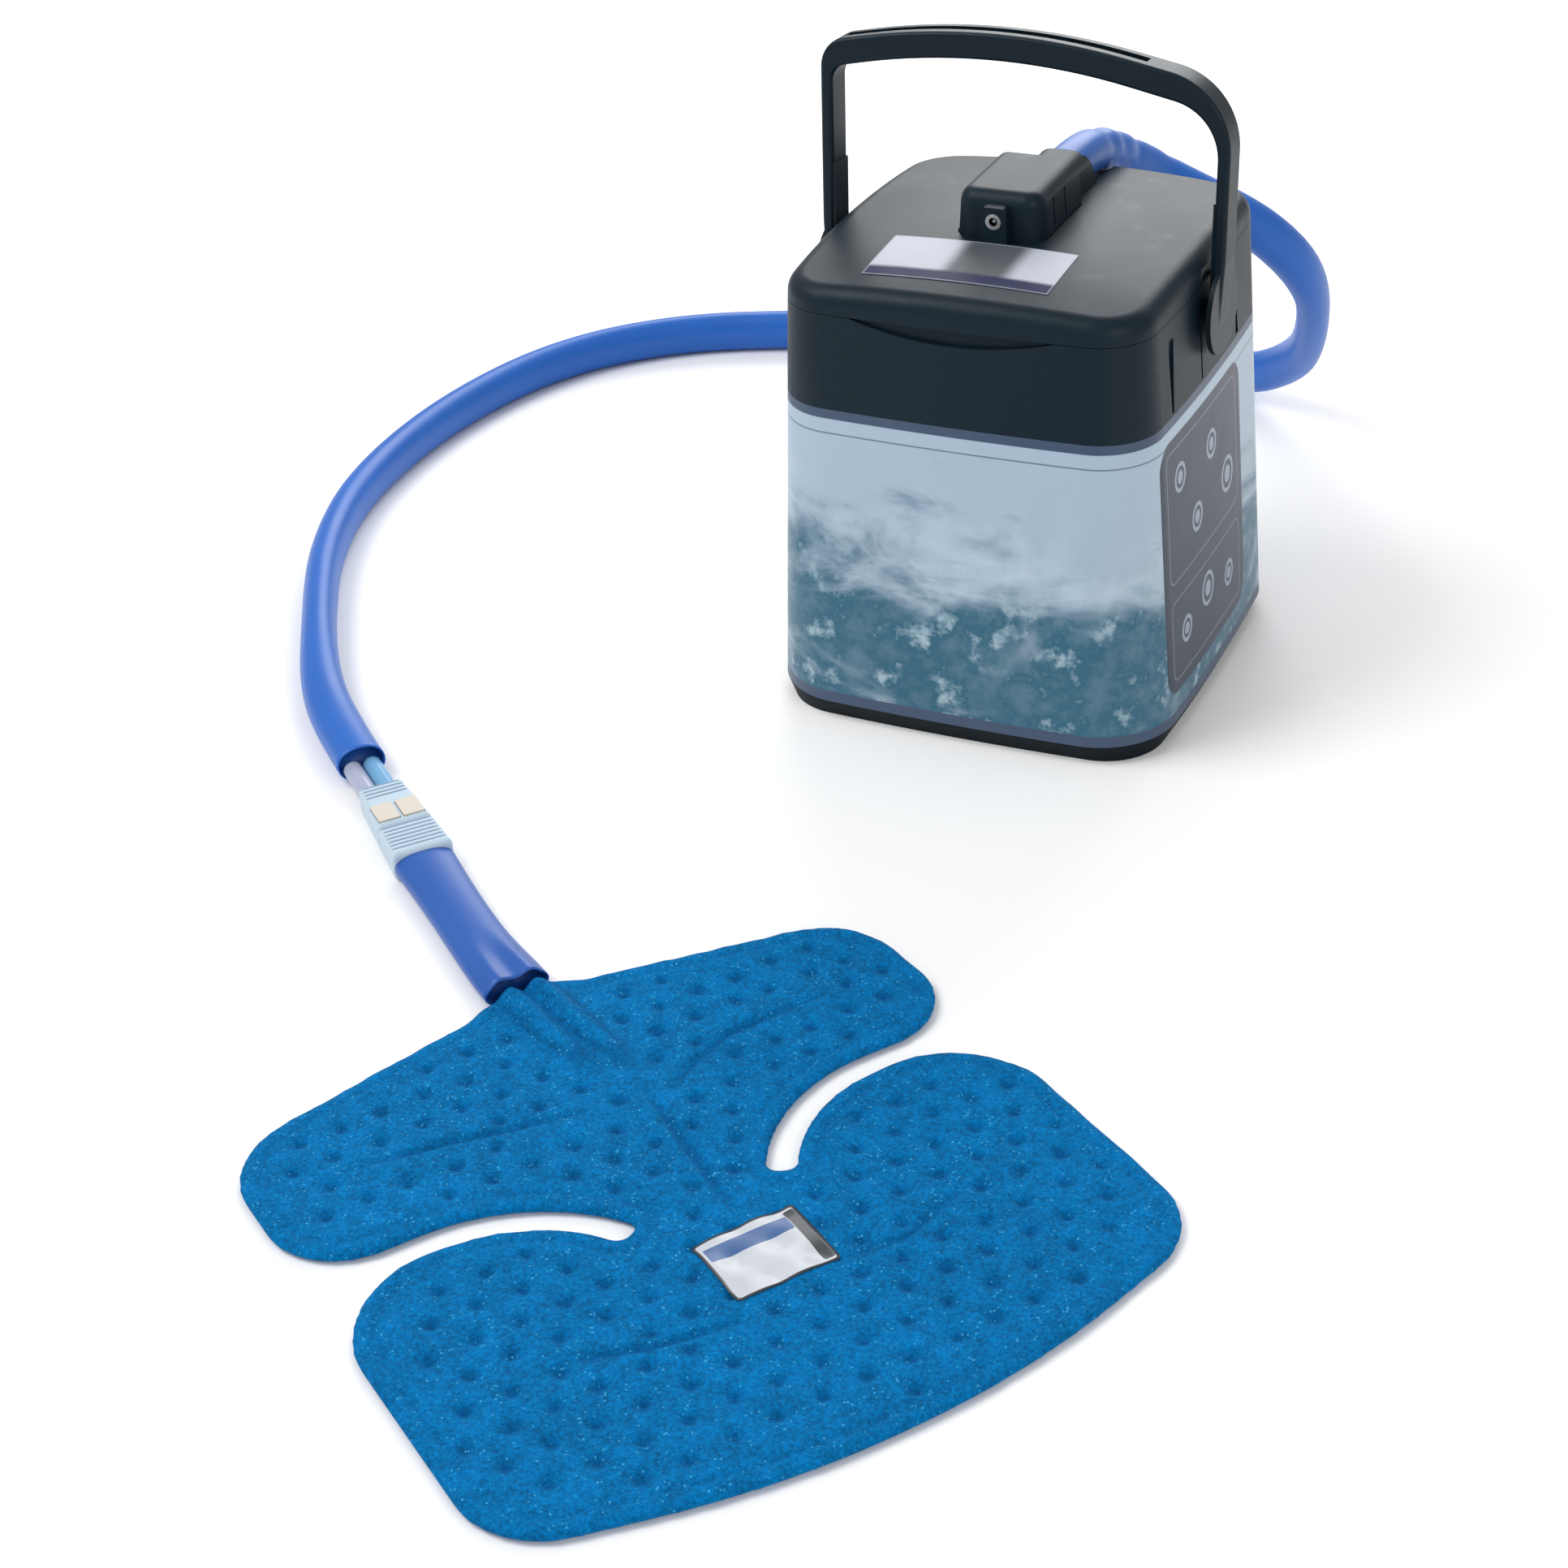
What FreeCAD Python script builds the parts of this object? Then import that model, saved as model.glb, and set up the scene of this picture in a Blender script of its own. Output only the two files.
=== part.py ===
# Hot and cold therapy machine: an insulated ice bucket whose lid carries a pump, with a
# swinging handle, a sleeved twin hose that lies on the floor, a quick coupling and a knee pad.
# Millimetres, +Z up. The origin is the middle of the bucket's foot, on the floor, and the
# bucket's front faces -Y. The driving sizes are the cells of the sheet "Sizes".
import FreeCAD
import Part

import math
import os

import Sketcher

V = FreeCAD.Vector
X_AXIS, Y_AXIS, Z_AXIS = V(1, 0, 0), V(0, 1, 0), V(0, 0, 1)
DOC = FreeCAD.newDocument("therapy_machine")
NODES = []

# hand-chosen places
HOSE_RADIUS = 10.5
HOSE_POINTS = [
    (3.5, 46, 242), (3.5, 70, 242), (5, 100, 236.5), (11, 135, 217), (29, 159, 196),
    (67, 183, 169), (87, 216, 129), (78, 257, 82), (59, 299, 42), (16, 330, 10.5),
    (-50, 354, 10.5), (-160, 352, 10.5), (-261, 321, 10.5), (-345, 288, 10.5),
    (-402, 226, 10.5), (-427, 130, 10.5), (-425, 30, 10.5), (-400, -50, 10.5),
    (-359, -123, 10.5), (-320, -183, 10.5), (-285.4, -218.35, 10.5), (-260.5, -240, 10.5),
]
HOSE_START = HOSE_POINTS[0]
HOSE_SPLIT_Y = 104
COUPLING_TURN = -41
PAD_TURN = 6
# name and x of the two tubes inside the bucket
RISERS = (("supply", -1.7), ("return", 8.7))
RISER_Y, RISER_WALL = 33, 1.2
SCREW_RADIUS, SCREW_HEAD = 1.5, 1.8
SCREW_PLACES = [(-27, -20), (23, -20), (-27, 50), (23, 50)]
GROOVES_Y = (-10.8, 4.5)
# name, y, low and high end, half width at each
COLLAR_GROOVES = (("front", -56, 169.5, 206, 1.2, 3.4), ("middle", -14.5, 169.5, 196, 0.9, 0.9),
                  ("rear", 43, 169.5, 188, 2.2, 0.6))
BOSS_Z = 234.4
STICKER_X, STICKER_Y = -5.5, -56.5
PROBE_DROP = 2.3
SEAL_PLACES = (4, 9)
SEAL_SEAT = 0.8
SLEEVE_POINTS = [(0, 0), (46, 0), (88, 0.6), (116.5, 3.6)]
LABEL_AT = (192, -20)
NECK_START, NOTCH_RUN = 0.4, 42.9

# alias: (size, what it measures)
CELLS = {
    # bucket
    "foot_top": (10, "height of the foot boot"),
    "rim_z": (215.4, "height of the collar's rim"),
    "collar_z": (168, "height at which the collar starts"),
    "foot_width": (210, "bucket width at the top of the boot"),
    "foot_depth": (216, "bucket depth at the top of the boot"),
    "rim_width": (187.6, "bucket width at the rim"),
    "rim_depth": (197.8, "bucket depth at the rim"),
    "foot_corner": (40, "corner radius at the top of the boot"),
    "rim_corner": (27.5, "corner radius at the rim"),
    "side_bow": (3.6, "how far each side bows outwards"),
    "foot_tuck": (4.8, "how far the boot rounds in at the floor"),
    "boot_floor": (3, "thickness of the boot's floor"),
    "boot_wall": (4, "thickness of the boot's wall"),
    "wrap_wall": (0.6, "thickness of the printed wrap"),
    "shell_wall": (2.4, "wall of the outer shell"),
    "foam_wall": (12, "thickness of the bucket's foam"),
    "liner_wall": (2, "wall of the inner liner"),
    "collar_wall": (4, "wall of the collar"),
    "flange_drop": (1.4, "depth of the liner's flange below the rim"),
    "play": (0.3, "clearance between pieces that move apart"),
    "running": (0.05, "radial running clearance"),
    "scallop_width": (102, "width of the finger scallop"),
    "scallop_drop": (7.2, "depth of the finger scallop"),
    "scallop_in": (2.6, "how far the scallop goes into the collar's wall"),
    "groove_deep": (1.5, "depth of the grooves in the collar's sides"),
    # handle
    "hinge_z": (200, "height of the handle's hinge"),
    "arm_gap": (2.6, "gap between the collar's rim and each arm"),
    "arm_thick": (7, "thickness of each arm"),
    "arm_wide": (18, "width of the arms and the grip"),
    "arm_step": (0.8, "how much thicker each arm's foot is"),
    "arm_foot": (53, "height of each arm's thicker foot over the hinge"),
    "grip_thick": (12.2, "thickness of the grip"),
    "grip_left": (113, "height of the grip's left shoulder over the hinge"),
    "grip_crown": (129.6, "height of the grip's crown point over the hinge"),
    "grip_crown_x": (-13.5, "side offset of the grip's crown point"),
    "grip_right": (107, "height of the grip's right shoulder over the hinge"),
    "arch_share": (0.746, "share of the grip's left half on each side of the crown that is arched"),
    "bend_left": (15, "outer radius of the left bend"),
    "bend_right": (38, "outer radius of the right bend"),
    "handle_lean": (4, "degrees that the upright handle leans back"),
    "edge_round": (2, "rounding of the handle's edges"),
    "hub_radius": (22, "radius of the handle's hubs"),
    "hub_thick": (5.4, "thickness of the handle's hubs"),
    "hub_disc": (2.4, "thickness of each hub's disc"),
    "hub_boss": (13, "radius of the boss behind each hub's disc"),
    "fin_drop": (6, "how far each arm's fin reaches below the hinge"),
    "slot_left": (92, "left end of the grip's slot"),
    "slot_right": (60, "right end of the grip's slot"),
    "slot_wide": (6.4, "width of the grip's slot"),
    "slot_deep": (4, "depth of the grip's slot"),
    "pin_radius": (4.5, "radius of the handle's pins"),
    "pin_end": (3.8, "depth of each pin in its hub"),
    # lid
    "dome_radius": (900, "radius of the lid's domed top"),
    "dome_top": (234.8, "height of the lid's crown"),
    "lid_draft": (1.5, "how far the lid's sides lean in"),
    "lid_round": (9.5, "rounding of the lid's upper edge"),
    "lid_wall": (2.5, "wall of the lid"),
    "tray_drop": (22, "how far the lid's tray hangs into the liner"),
    "tray_gap": (1.5, "gap between the lid's tray and the liner"),
    "tray_wall": (2, "wall of the lid's tray"),
    "seal_thick": (1.7, "thickness of the lid's seal"),
    "notch_radius": (40, "radius of the lid's hub notches"),
    "notch_deep": (2, "depth of the lid's hub notches"),
    "notch_high": (7, "height of the lid's hub notches"),
    "trough_radius": (18, "radius of the hose trough in the lid"),
    "trough_floor": (231, "height of the hose trough's floor behind the spout"),
    "trough_mouth": (224, "height of the hose trough's floor at the lid's edge"),
    "sticker_wide": (93, "width of the lid's sticker"),
    "sticker_deep": (43, "depth of the lid's sticker"),
    "sticker_thick": (0.25, "thickness of the lid's sticker"),
    # pump cover and spout
    "cover_base": (229, "height of the plate under the pump cover"),
    "cover_half": (23, "half width of the pump cover at its base"),
    "cover_front": (30.3, "distance of the pump cover's front from the middle"),
    "cover_back": (26, "distance of the pump cover's back from the middle"),
    "cover_top": (257, "height of the pump cover's top"),
    "cover_shift": (2, "distance of the pump cover's middle from the lid's"),
    "cover_lean": (2, "how far the pump cover's sides lean in"),
    "cover_corner": (11, "corner radius of the pump cover"),
    "cover_round": (7, "rounding of the pump cover's upper edge"),
    "cover_wall": (2.2, "wall of the pump cover"),
    "spout_half": (13, "half width of the hose spout"),
    "spout_top": (253.4, "height of the hose spout"),
    "spout_flat": (46, "distance of the spout's back face from the middle"),
    "spout_tail": (59, "distance of the spout's tail from the middle"),
    "spout_low": (236, "height of the spout's tail"),
    "boss_half": (6.6, "half width of the jack's boss"),
    "boss_front": (35, "distance of the boss's face from the middle"),
    "boss_top": (252, "height of the jack's boss"),
    "jack_z": (245, "height of the jack"),
    "jack_radius": (3.9, "radius of the jack's ring"),
    "jack_bore": (2.1, "radius of the jack's bore"),
    "jack_deep": (9, "depth of the jack's bore"),
    # pump
    "column_radius": (17, "radius of the pump's column"),
    "column_wall": (2, "wall of the pump's column"),
    "column_foot": (84, "height of the column's foot"),
    "plate_thick": (3, "thickness of the plate under the pump cover"),
    "motor_radius": (14, "radius of the motor"),
    "motor_long": (42, "length of the motor"),
    "housing_radius": (21, "radius of the pump's housing"),
    "housing_high": (22, "height of the pump's housing"),
    "wheel_radius": (15, "radius of the impeller"),
    "wheel_high": (8, "height of the impeller"),
    "shaft_radius": (1.6, "radius of the motor's shaft"),
    "strainer_high": (24, "height of the strainer"),
    "riser_radius": (4, "radius of the two tubes inside the bucket"),
    # coupling
    "hose_end_gap": (30, "free length of the two tubes before the coupling"),
    "tube_radius": (4.75, "radius of the two tubes"),
    "tube_pitch": (10, "distance between the two tubes"),
    "socket_long": (39, "length of the coupling's female half"),
    "socket_rear": (22, "width of the female half at its rear"),
    "socket_front": (27, "width of the female half at its front"),
    "socket_high": (15.6, "height of the coupling"),
    "insert_long": (26.7, "length of the coupling's male half"),
    "insert_wide": (30, "width of the male half at the pad's sleeve"),
    "probe_radius": (3.3, "radius of the two probes"),
    "probe_long": (16, "length of the two probes"),
    "stem_radius": (2.5, "radius of each probe's stem in the male half"),
    "stem_long": (10, "length of each probe's stem in the male half"),
    "rib_deep": (0.8, "depth of the grooves between the coupling's ribs"),
    "rib_pitch": (3.2, "distance between the coupling's ribs"),
    "latch_long": (15, "length of each thumb plate"),
    "latch_wide": (10.4, "width of each thumb plate"),
    "latch_thick": (3, "thickness of each thumb plate"),
    "latch_back": (21, "distance of the thumb plates from the coupling's rear"),
    "latch_stroke": (2, "travel of each thumb plate"),
    "latch_proud": (0.8, "how far the thumb plates stand over the coupling"),
    "spring_radius": (2.2, "radius of each latch spring"),
    "spring_high": (3.4, "height of each latch spring"),
    # pad
    "sleeve_wide": (30, "width of the pad's sleeve"),
    "sleeve_high": (14, "height of the pad's sleeve"),
    "neck_half": (27, "half width of the pad's neck"),
    "wing_start": (34, "distance of the pad's wings from the neck"),
    "wing_end": (123.5, "far side of the pad's wings"),
    "notch_wide": (12, "width of the pad's two notches"),
    "pad_shoulder": (291.7, "far corner of the pad's lower part"),
    "pad_end": (320, "end of the pad's bow"),
    "pad_half": (155, "half width of the pad"),
    "notch_half": (34, "distance of the notches' ends from the middle"),
    "cover_cloth": (2, "thickness of the pad's lower cloth"),
    "bladder_thick": (4, "thickness of the pad's bladder"),
    "top_cloth": (2.5, "thickness of the pad's upper cloth"),
    "weld_border": (7, "width of the pad's welded border"),
    "label_long": (38, "length of the pad's label"),
    "label_wide": (46, "width of the pad's label"),
    "label_thick": (0.3, "thickness of the pad's label"),
}


class Size:
    """A size with its present value and its expression in terms of the sheet's cells."""

    def __init__(self, value, text=None):
        self.value = float(value)
        self.text = text or "(%.6g)" % value

    def __add__(self, other):
        other = size(other)
        return Size(self.value + other.value, "(%s + %s)" % (self.text, other.text))

    def __sub__(self, other):
        other = size(other)
        return Size(self.value - other.value, "(%s - %s)" % (self.text, other.text))

    def __mul__(self, other):
        other = size(other)
        return Size(self.value * other.value, "(%s * %s)" % (self.text, other.text))

    def __truediv__(self, other):
        other = size(other)
        return Size(self.value / other.value, "(%s / %s)" % (self.text, other.text))

    def __radd__(self, other):
        return size(other) + self

    def __rsub__(self, other):
        return size(other) - self

    def __rmul__(self, other):
        return size(other) * self

    def __rtruediv__(self, other):
        return size(other) / self

    def __neg__(self):
        return Size(-self.value, "(-1 * %s)" % self.text)


def size(value):
    """The value as a Size."""
    return value if isinstance(value, Size) else Size(value)


def fill_sheet():
    """Write the driving sizes into the sheet and return them by name."""
    sheet = DOC.addObject("Spreadsheet::Sheet", "Sizes")
    for row, (alias, (value, meaning)) in enumerate(CELLS.items(), start=1):
        sheet.set("A%d" % row, alias)
        sheet.set("B%d" % row, repr(value))
        sheet.set("C%d" % row, meaning)
        sheet.setAlias("B%d" % row, alias)
    DOC.recompute()
    return {alias: Size(value, "Sizes." + alias) for alias, (value, _) in CELLS.items()}


S = fill_sheet()


# ---- helpers: binding, Part primitives and booleans ----

def bind(obj, prop, value):
    """Tie a property to the sheet, and set it to its present value."""
    obj.setExpression(prop, size(value).text)


def move(obj, x=0, y=0, z=0, rotation=FreeCAD.Rotation()):
    """Place an object, with its position tied to the sheet."""
    obj.Placement = FreeCAD.Placement(V(size(x).value, size(y).value, size(z).value), rotation)
    for axis, value in zip("xyz", (x, y, z)):
        bind(obj, "Placement.Base." + axis, value)
    return obj


def box(name, x, y, z):
    """A box between two values along each axis."""
    obj = DOC.addObject("Part::Box", name)
    for prop, (low, high) in zip(("Length", "Width", "Height"), (x, y, z)):
        bind(obj, prop, size(high) - low)
    return move(obj, x[0], y[0], z[0])


def cylinder(name, radius, height, at, axis=Z_AXIS):
    """A cylinder from a point along an axis."""
    obj = DOC.addObject("Part::Cylinder", name)
    bind(obj, "Radius", radius)
    bind(obj, "Height", height)
    return move(obj, *at, rotation=FreeCAD.Rotation(Z_AXIS, axis))


def fuse(name, *shapes):
    obj = DOC.addObject("Part::MultiFuse", name)
    obj.Shapes = list(shapes)
    return obj


def cut(name, base, *tools):
    """The base less the tools."""
    obj = DOC.addObject("Part::Cut", name)
    obj.Base = base
    obj.Tool = tools[0] if len(tools) == 1 else fuse(name + "_tools", *tools)
    return obj


def common(name, first, second):
    obj = DOC.addObject("Part::Common", name)
    obj.Base = first
    obj.Tool = second
    return obj


def node(obj, name):
    """Name an object as one sub-part of the machine."""
    obj.Label = name
    NODES.append(obj)
    return obj


# ---- helpers: PartDesign ----

def new_body(name):
    return node(DOC.addObject("PartDesign::Body", name), name)


def new_sketch(body, name, plane="XY_Plane", offset=0):
    """A sketch on one of the body's origin planes, moved along its normal."""
    sketch = body.newObject("Sketcher::SketchObject", name)
    support = [feature for feature in body.Origin.OriginFeatures if feature.Role == plane][0]
    sketch.AttachmentSupport = [(support, "")]
    sketch.MapMode = "FlatFace"
    sketch.AttachmentOffset = FreeCAD.Placement(V(0, 0, size(offset).value), FreeCAD.Rotation())
    bind(sketch, "AttachmentOffset.Base.z", offset)
    return sketch


def constrain(sketch, value, *arguments):
    """Add a dimension to a sketch and tie it to the sheet."""
    index = sketch.addConstraint(Sketcher.Constraint(*arguments, size(value).value))
    bind(sketch, "Constraints[%d]" % index, value)


def circle_sketch(body, name, radius, x=0, y=0, plane="XY_Plane", offset=0):
    sketch = new_sketch(body, name, plane, offset)
    x, y = size(x), size(y)
    sketch.addGeometry(Part.Circle(V(x.value, y.value, 0), Z_AXIS, size(radius).value), False)
    constrain(sketch, x, "DistanceX", -1, 1, 0, 3)
    constrain(sketch, y, "DistanceY", -1, 1, 0, 3)
    constrain(sketch, radius, "Radius", 0)
    return sketch


def corner_sketch(body, name, corners, plane="XY_Plane", offset=0):
    """A closed outline of straight sides with rounded corners (x, y, radius).

    Each corner has a construction point, on which its two sides aim."""
    sketch = new_sketch(body, name, plane, offset)
    corners = [tuple(size(value) for value in corner) for corner in corners]
    count = len(corners)
    tips = [V(x.value, y.value, 0) for x, y, _ in corners]
    ends = []
    for index, tip in enumerate(tips):
        back = (tips[index - 1] - tip).normalize()
        ahead = (tips[(index + 1) % count] - tip).normalize()
        half_turn = (math.pi - back.getAngle(ahead)) / 2
        reach = corners[index][2].value * math.tan(half_turn)
        bisector = (back + ahead).normalize()
        centre = tip + bisector * (corners[index][2].value / math.cos(half_turn))
        ends.append((tip + back * reach, centre, tip + ahead * reach))
    for index in range(count):
        sketch.addGeometry(Part.LineSegment(ends[index][2], ends[(index + 1) % count][0]), False)
    for index, (start, centre, end) in enumerate(ends):
        radius = corners[index][2].value
        angles = [math.atan2(point.y - centre.y, point.x - centre.x) for point in (start, end)]
        left_turn = (start - tips[index]).cross(end - tips[index]).z < 0
        if not left_turn:
            angles.reverse()
        sketch.addGeometry(Part.ArcOfCircle(Part.Circle(centre, Z_AXIS, radius), *angles), False)
        first, last = (1, 2) if left_turn else (2, 1)
        arc = count + index
        sketch.addConstraint(Sketcher.Constraint("Tangent", (index - 1) % count, 2, arc, first))
        sketch.addConstraint(Sketcher.Constraint("Tangent", arc, last, index, 1))
    for index, (x, y, radius) in enumerate(corners):
        point = sketch.addGeometry(Part.Point(tips[index]), True)
        constrain(sketch, x, "DistanceX", -1, 1, point, 1)
        constrain(sketch, y, "DistanceY", -1, 1, point, 1)
        for side in ((index - 1) % count, index):
            sketch.addConstraint(Sketcher.Constraint("PointOnObject", point, 1, side))
        constrain(sketch, radius, "Radius", count + index)
    return sketch


def cover_corners(half, front, back, corner, middle=0):
    """A rounded rectangle about a line along the lid."""
    left, right = middle - half, middle + half
    return [(left, front, corner), (right, front, corner), (right, back, corner), (left, back, corner)]


def upright_corners(middle, low, high, low_half, high_half, corner):
    """A rounded slot seen from the side, which may be wider at one end."""
    return [(middle - low_half, low, corner), (middle + low_half, low, corner),
            (middle + high_half, high, corner), (middle - high_half, high, corner)]


def bowed_sketch(body, name, z, half_width, half_depth, corner):
    """A rounded rectangle whose four sides bow outwards, at a height."""
    sketch = new_sketch(body, name, "XY_Plane", z)
    bow = S["side_bow"]
    half_width, half_depth, corner = size(half_width), size(half_depth), size(corner)
    side = (half_depth * half_depth + bow * bow) / (2 * bow)
    front = (half_width * half_width + bow * bow) / (2 * bow)
    side_x = (half_width - side).value
    front_y = (half_depth - front).value
    # the corner's centre is where circles about the two sides' centres meet
    reach_side = (side - corner).value
    reach_front = (front - corner).value
    span = math.hypot(side_x, front_y)
    along = (reach_side ** 2 - reach_front ** 2 + span ** 2) / (2 * span)
    across = math.sqrt(reach_side ** 2 - along ** 2)
    to_front = V(-side_x / span, front_y / span, 0)
    centre = V(side_x, 0, 0) + to_front * along + V(-to_front.y, to_front.x, 0) * across
    if centre.x < 0:
        centre = V(side_x, 0, 0) + to_front * along - V(-to_front.y, to_front.x, 0) * across
    low = math.atan2(centre.y, centre.x - side_x)
    high = math.atan2(centre.y - front_y, centre.x)
    half_turn = math.pi
    arcs = [
        (V(side_x, 0, 0), side, -low, low),
        (centre, corner, low, high),
        (V(0, front_y, 0), front, high, half_turn - high),
        (V(-centre.x, centre.y, 0), corner, half_turn - high, half_turn - low),
        (V(-side_x, 0, 0), side, half_turn - low, half_turn + low),
        (V(-centre.x, -centre.y, 0), corner, half_turn + low, half_turn + high),
        (V(0, -front_y, 0), front, half_turn + high, 2 * half_turn - high),
        (V(centre.x, -centre.y, 0), corner, -high, -low),
    ]
    for middle, radius, start, end in arcs:
        circle = Part.Circle(middle, Z_AXIS, radius.value)
        sketch.addGeometry(Part.ArcOfCircle(circle, start, end), False)
    for index in range(len(arcs)):
        following = (index + 1) % len(arcs)
        sketch.addConstraint(Sketcher.Constraint("Tangent", index, 2, following, 1))
    for index, axis in ((0, -1), (2, -2), (4, -1), (6, -2)):
        sketch.addConstraint(Sketcher.Constraint("PointOnObject", index, 3, axis))
    for index, (_, radius, _, _) in enumerate(arcs):
        constrain(sketch, radius, "Radius", index)
    constrain(sketch, side - half_width, "DistanceX", 0, 3, -1, 1)
    constrain(sketch, side - half_width, "DistanceX", -1, 1, 4, 3)
    constrain(sketch, front - half_depth, "DistanceY", 2, 3, -1, 1)
    constrain(sketch, front - half_depth, "DistanceY", -1, 1, 6, 3)
    return sketch


def bucket_size(level, part):
    """The bucket's width, depth or corner radius at a height."""
    share = (size(level) - S["foot_top"]) / (S["rim_z"] - S["foot_top"])
    foot, rim = S["foot_" + part], S["rim_" + part]
    return foot + (rim - foot) * share


def bucket_sketch(body, name, z, inset=0, corner=None, at=None):
    """The bucket's section at a height, or that of another height, less an inset."""
    level = z if at is None else at
    half_width = bucket_size(level, "width") / 2 - inset
    half_depth = bucket_size(level, "depth") / 2 - inset
    if corner is None:
        corner = bucket_size(level, "corner") - inset
    return bowed_sketch(body, name, z, half_width, half_depth, corner)


def loft(body, name, sections, take_away=False):
    """A ruled loft through sketches that adds or removes."""
    kind = "PartDesign::SubtractiveLoft" if take_away else "PartDesign::AdditiveLoft"
    feature = body.newObject(kind, name)
    feature.Profile = sections[0]
    feature.Sections = sections[1:]
    feature.Ruled = True
    return feature


def extrude(body, name, sketch, length, midplane=False, take_away=False, reverse=False):
    """A pad or a pocket of one length."""
    kind = "PartDesign::Pocket" if take_away else "PartDesign::Pad"
    feature = body.newObject(kind, name)
    feature.Profile = sketch
    bind(feature, "Length", length)
    feature.Midplane = midplane
    feature.Reversed = reverse
    return feature


def edges_where(feature, test):
    """The names of a feature's edges whose middle points pass a test."""
    names = []
    for index, edge in enumerate(feature.Shape.Edges, start=1):
        middle = edge.valueAt((edge.FirstParameter + edge.LastParameter) / 2)
        if test(middle, edge):
            names.append("Edge%d" % index)
    return names


def round_edges(body, name, feature, radius, test):
    """A fillet on the edges that pass a test."""
    DOC.recompute()
    fillet = body.newObject("PartDesign::Fillet", name)
    fillet.Base = (feature, edges_where(feature, test))
    bind(fillet, "Radius", radius)
    body.Tip = fillet
    return fillet


# ---- sizes that several sub-parts share ----

FOAM_OUT = S["collar_wall"] + S["play"]
LINER_OUT = FOAM_OUT + S["foam_wall"] + S["play"]
LINER_IN = LINER_OUT + S["liner_wall"]
BOOT_IN = S["boot_wall"] + S["foot_tuck"]
SHELL_FLOOR = S["boot_floor"] + S["shell_wall"]
LINER_BOTTOM = SHELL_FLOOR + S["foam_wall"]
FLANGE_TOP = S["rim_z"] - S["flange_drop"]
FOAM_TOP = FLANGE_TOP - S["liner_wall"]
LID_Z = S["rim_z"] + S["play"]
SEAL_Z = FLANGE_TOP + S["play"]
TRAY_TOP = SEAL_Z + S["seal_thick"] + S["tray_wall"]
TRAY_Z = S["rim_z"] - S["tray_drop"]
TRAY_OUT = LINER_IN + S["tray_gap"]
PLATE_Z = S["cover_base"] - S["plate_thick"]
ARM_IN = S["rim_width"] / 2 + S["arm_gap"]
COVER_X = -S["cover_shift"]
PIN_FACE = ARM_IN + S["pin_end"]
MOTOR_Z = S["column_foot"] + S["column_wall"]
HOUSING_Z = S["column_foot"] - S["housing_high"]
STRAINER_Z = HOUSING_Z - S["strainer_high"]
WHEEL_Z = HOUSING_Z + (S["housing_high"] - S["wheel_high"]) / 2
HALF_PITCH = S["tube_pitch"] / 2


# ---- the bucket ----

def make_base_bumper():
    """The foot boot: a shallow tray whose sides round in at the floor."""
    body = new_body("base_bumper")
    tuck = S["foot_tuck"]
    low = bowed_sketch(body, "boot_low", 0, S["foot_width"] / 2 - tuck, S["foot_depth"] / 2 - tuck,
                       S["foot_corner"] - 2 * tuck)
    loft(body, "boot", [low, bucket_sketch(body, "boot_high", S["foot_top"])])
    hollow = [
        bucket_sketch(body, "hollow_low", S["boot_floor"], BOOT_IN, at=S["foot_top"]),
        bucket_sketch(body, "hollow_high", S["foot_top"], S["boot_wall"]),
    ]
    loft(body, "hollow", hollow, take_away=True)


def shell_sections(body, name, inset, bottom, wall):
    """Sections of a wall that stands in the boot and rises to the collar."""
    return [
        bucket_sketch(body, name + "_foot", bottom, BOOT_IN + inset, at=S["foot_top"]),
        bucket_sketch(body, name + "_boot", S["foot_top"], S["boot_wall"] + inset),
        bucket_sketch(body, name + "_top", S["collar_z"], wall),
    ]


def make_outer_shell():
    """The outer shell, which stands in the boot and carries the wrap."""
    body = new_body("outer_shell")
    foot = [
        bucket_sketch(body, "foot_low", S["boot_floor"], BOOT_IN + S["play"], at=S["foot_top"]),
        bucket_sketch(body, "foot_high", S["foot_top"], S["boot_wall"] + S["play"]),
    ]
    loft(body, "foot", foot)
    wall = [
        bucket_sketch(body, "wall_low", S["foot_top"], S["wrap_wall"] + S["running"]),
        bucket_sketch(body, "wall_high", S["collar_z"], S["wrap_wall"] + S["running"]),
    ]
    loft(body, "wall", wall)
    inside = shell_sections(body, "inside", S["play"] + S["shell_wall"], SHELL_FLOOR,
                            S["wrap_wall"] + S["shell_wall"])
    loft(body, "inside", inside, take_away=True)


def make_label_wrap():
    """The printed wrap around the outer shell."""
    body = new_body("label_wrap")
    for name, inset in (("outside", size(0)), ("inside", S["wrap_wall"])):
        sections = [
            bucket_sketch(body, name + "_low", S["foot_top"], inset),
            bucket_sketch(body, name + "_high", S["collar_z"], inset),
        ]
        loft(body, name, sections, take_away=name == "inside")


def make_foam_insulation():
    """The foam between the outer shell and the liner."""
    body = new_body("foam_insulation")
    gap = 2 * S["play"] + S["shell_wall"]
    outside = shell_sections(body, "outside", gap, SHELL_FLOOR, FOAM_OUT)
    outside.append(bucket_sketch(body, "outside_rim", FOAM_TOP, FOAM_OUT))
    loft(body, "outside", outside)
    inset = FOAM_OUT + S["foam_wall"]
    inside = [
        bucket_sketch(body, "inside_low", LINER_BOTTOM, inset, at=S["collar_z"]),
        bucket_sketch(body, "inside_high", FOAM_TOP, inset),
    ]
    loft(body, "inside", inside, take_away=True)


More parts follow.
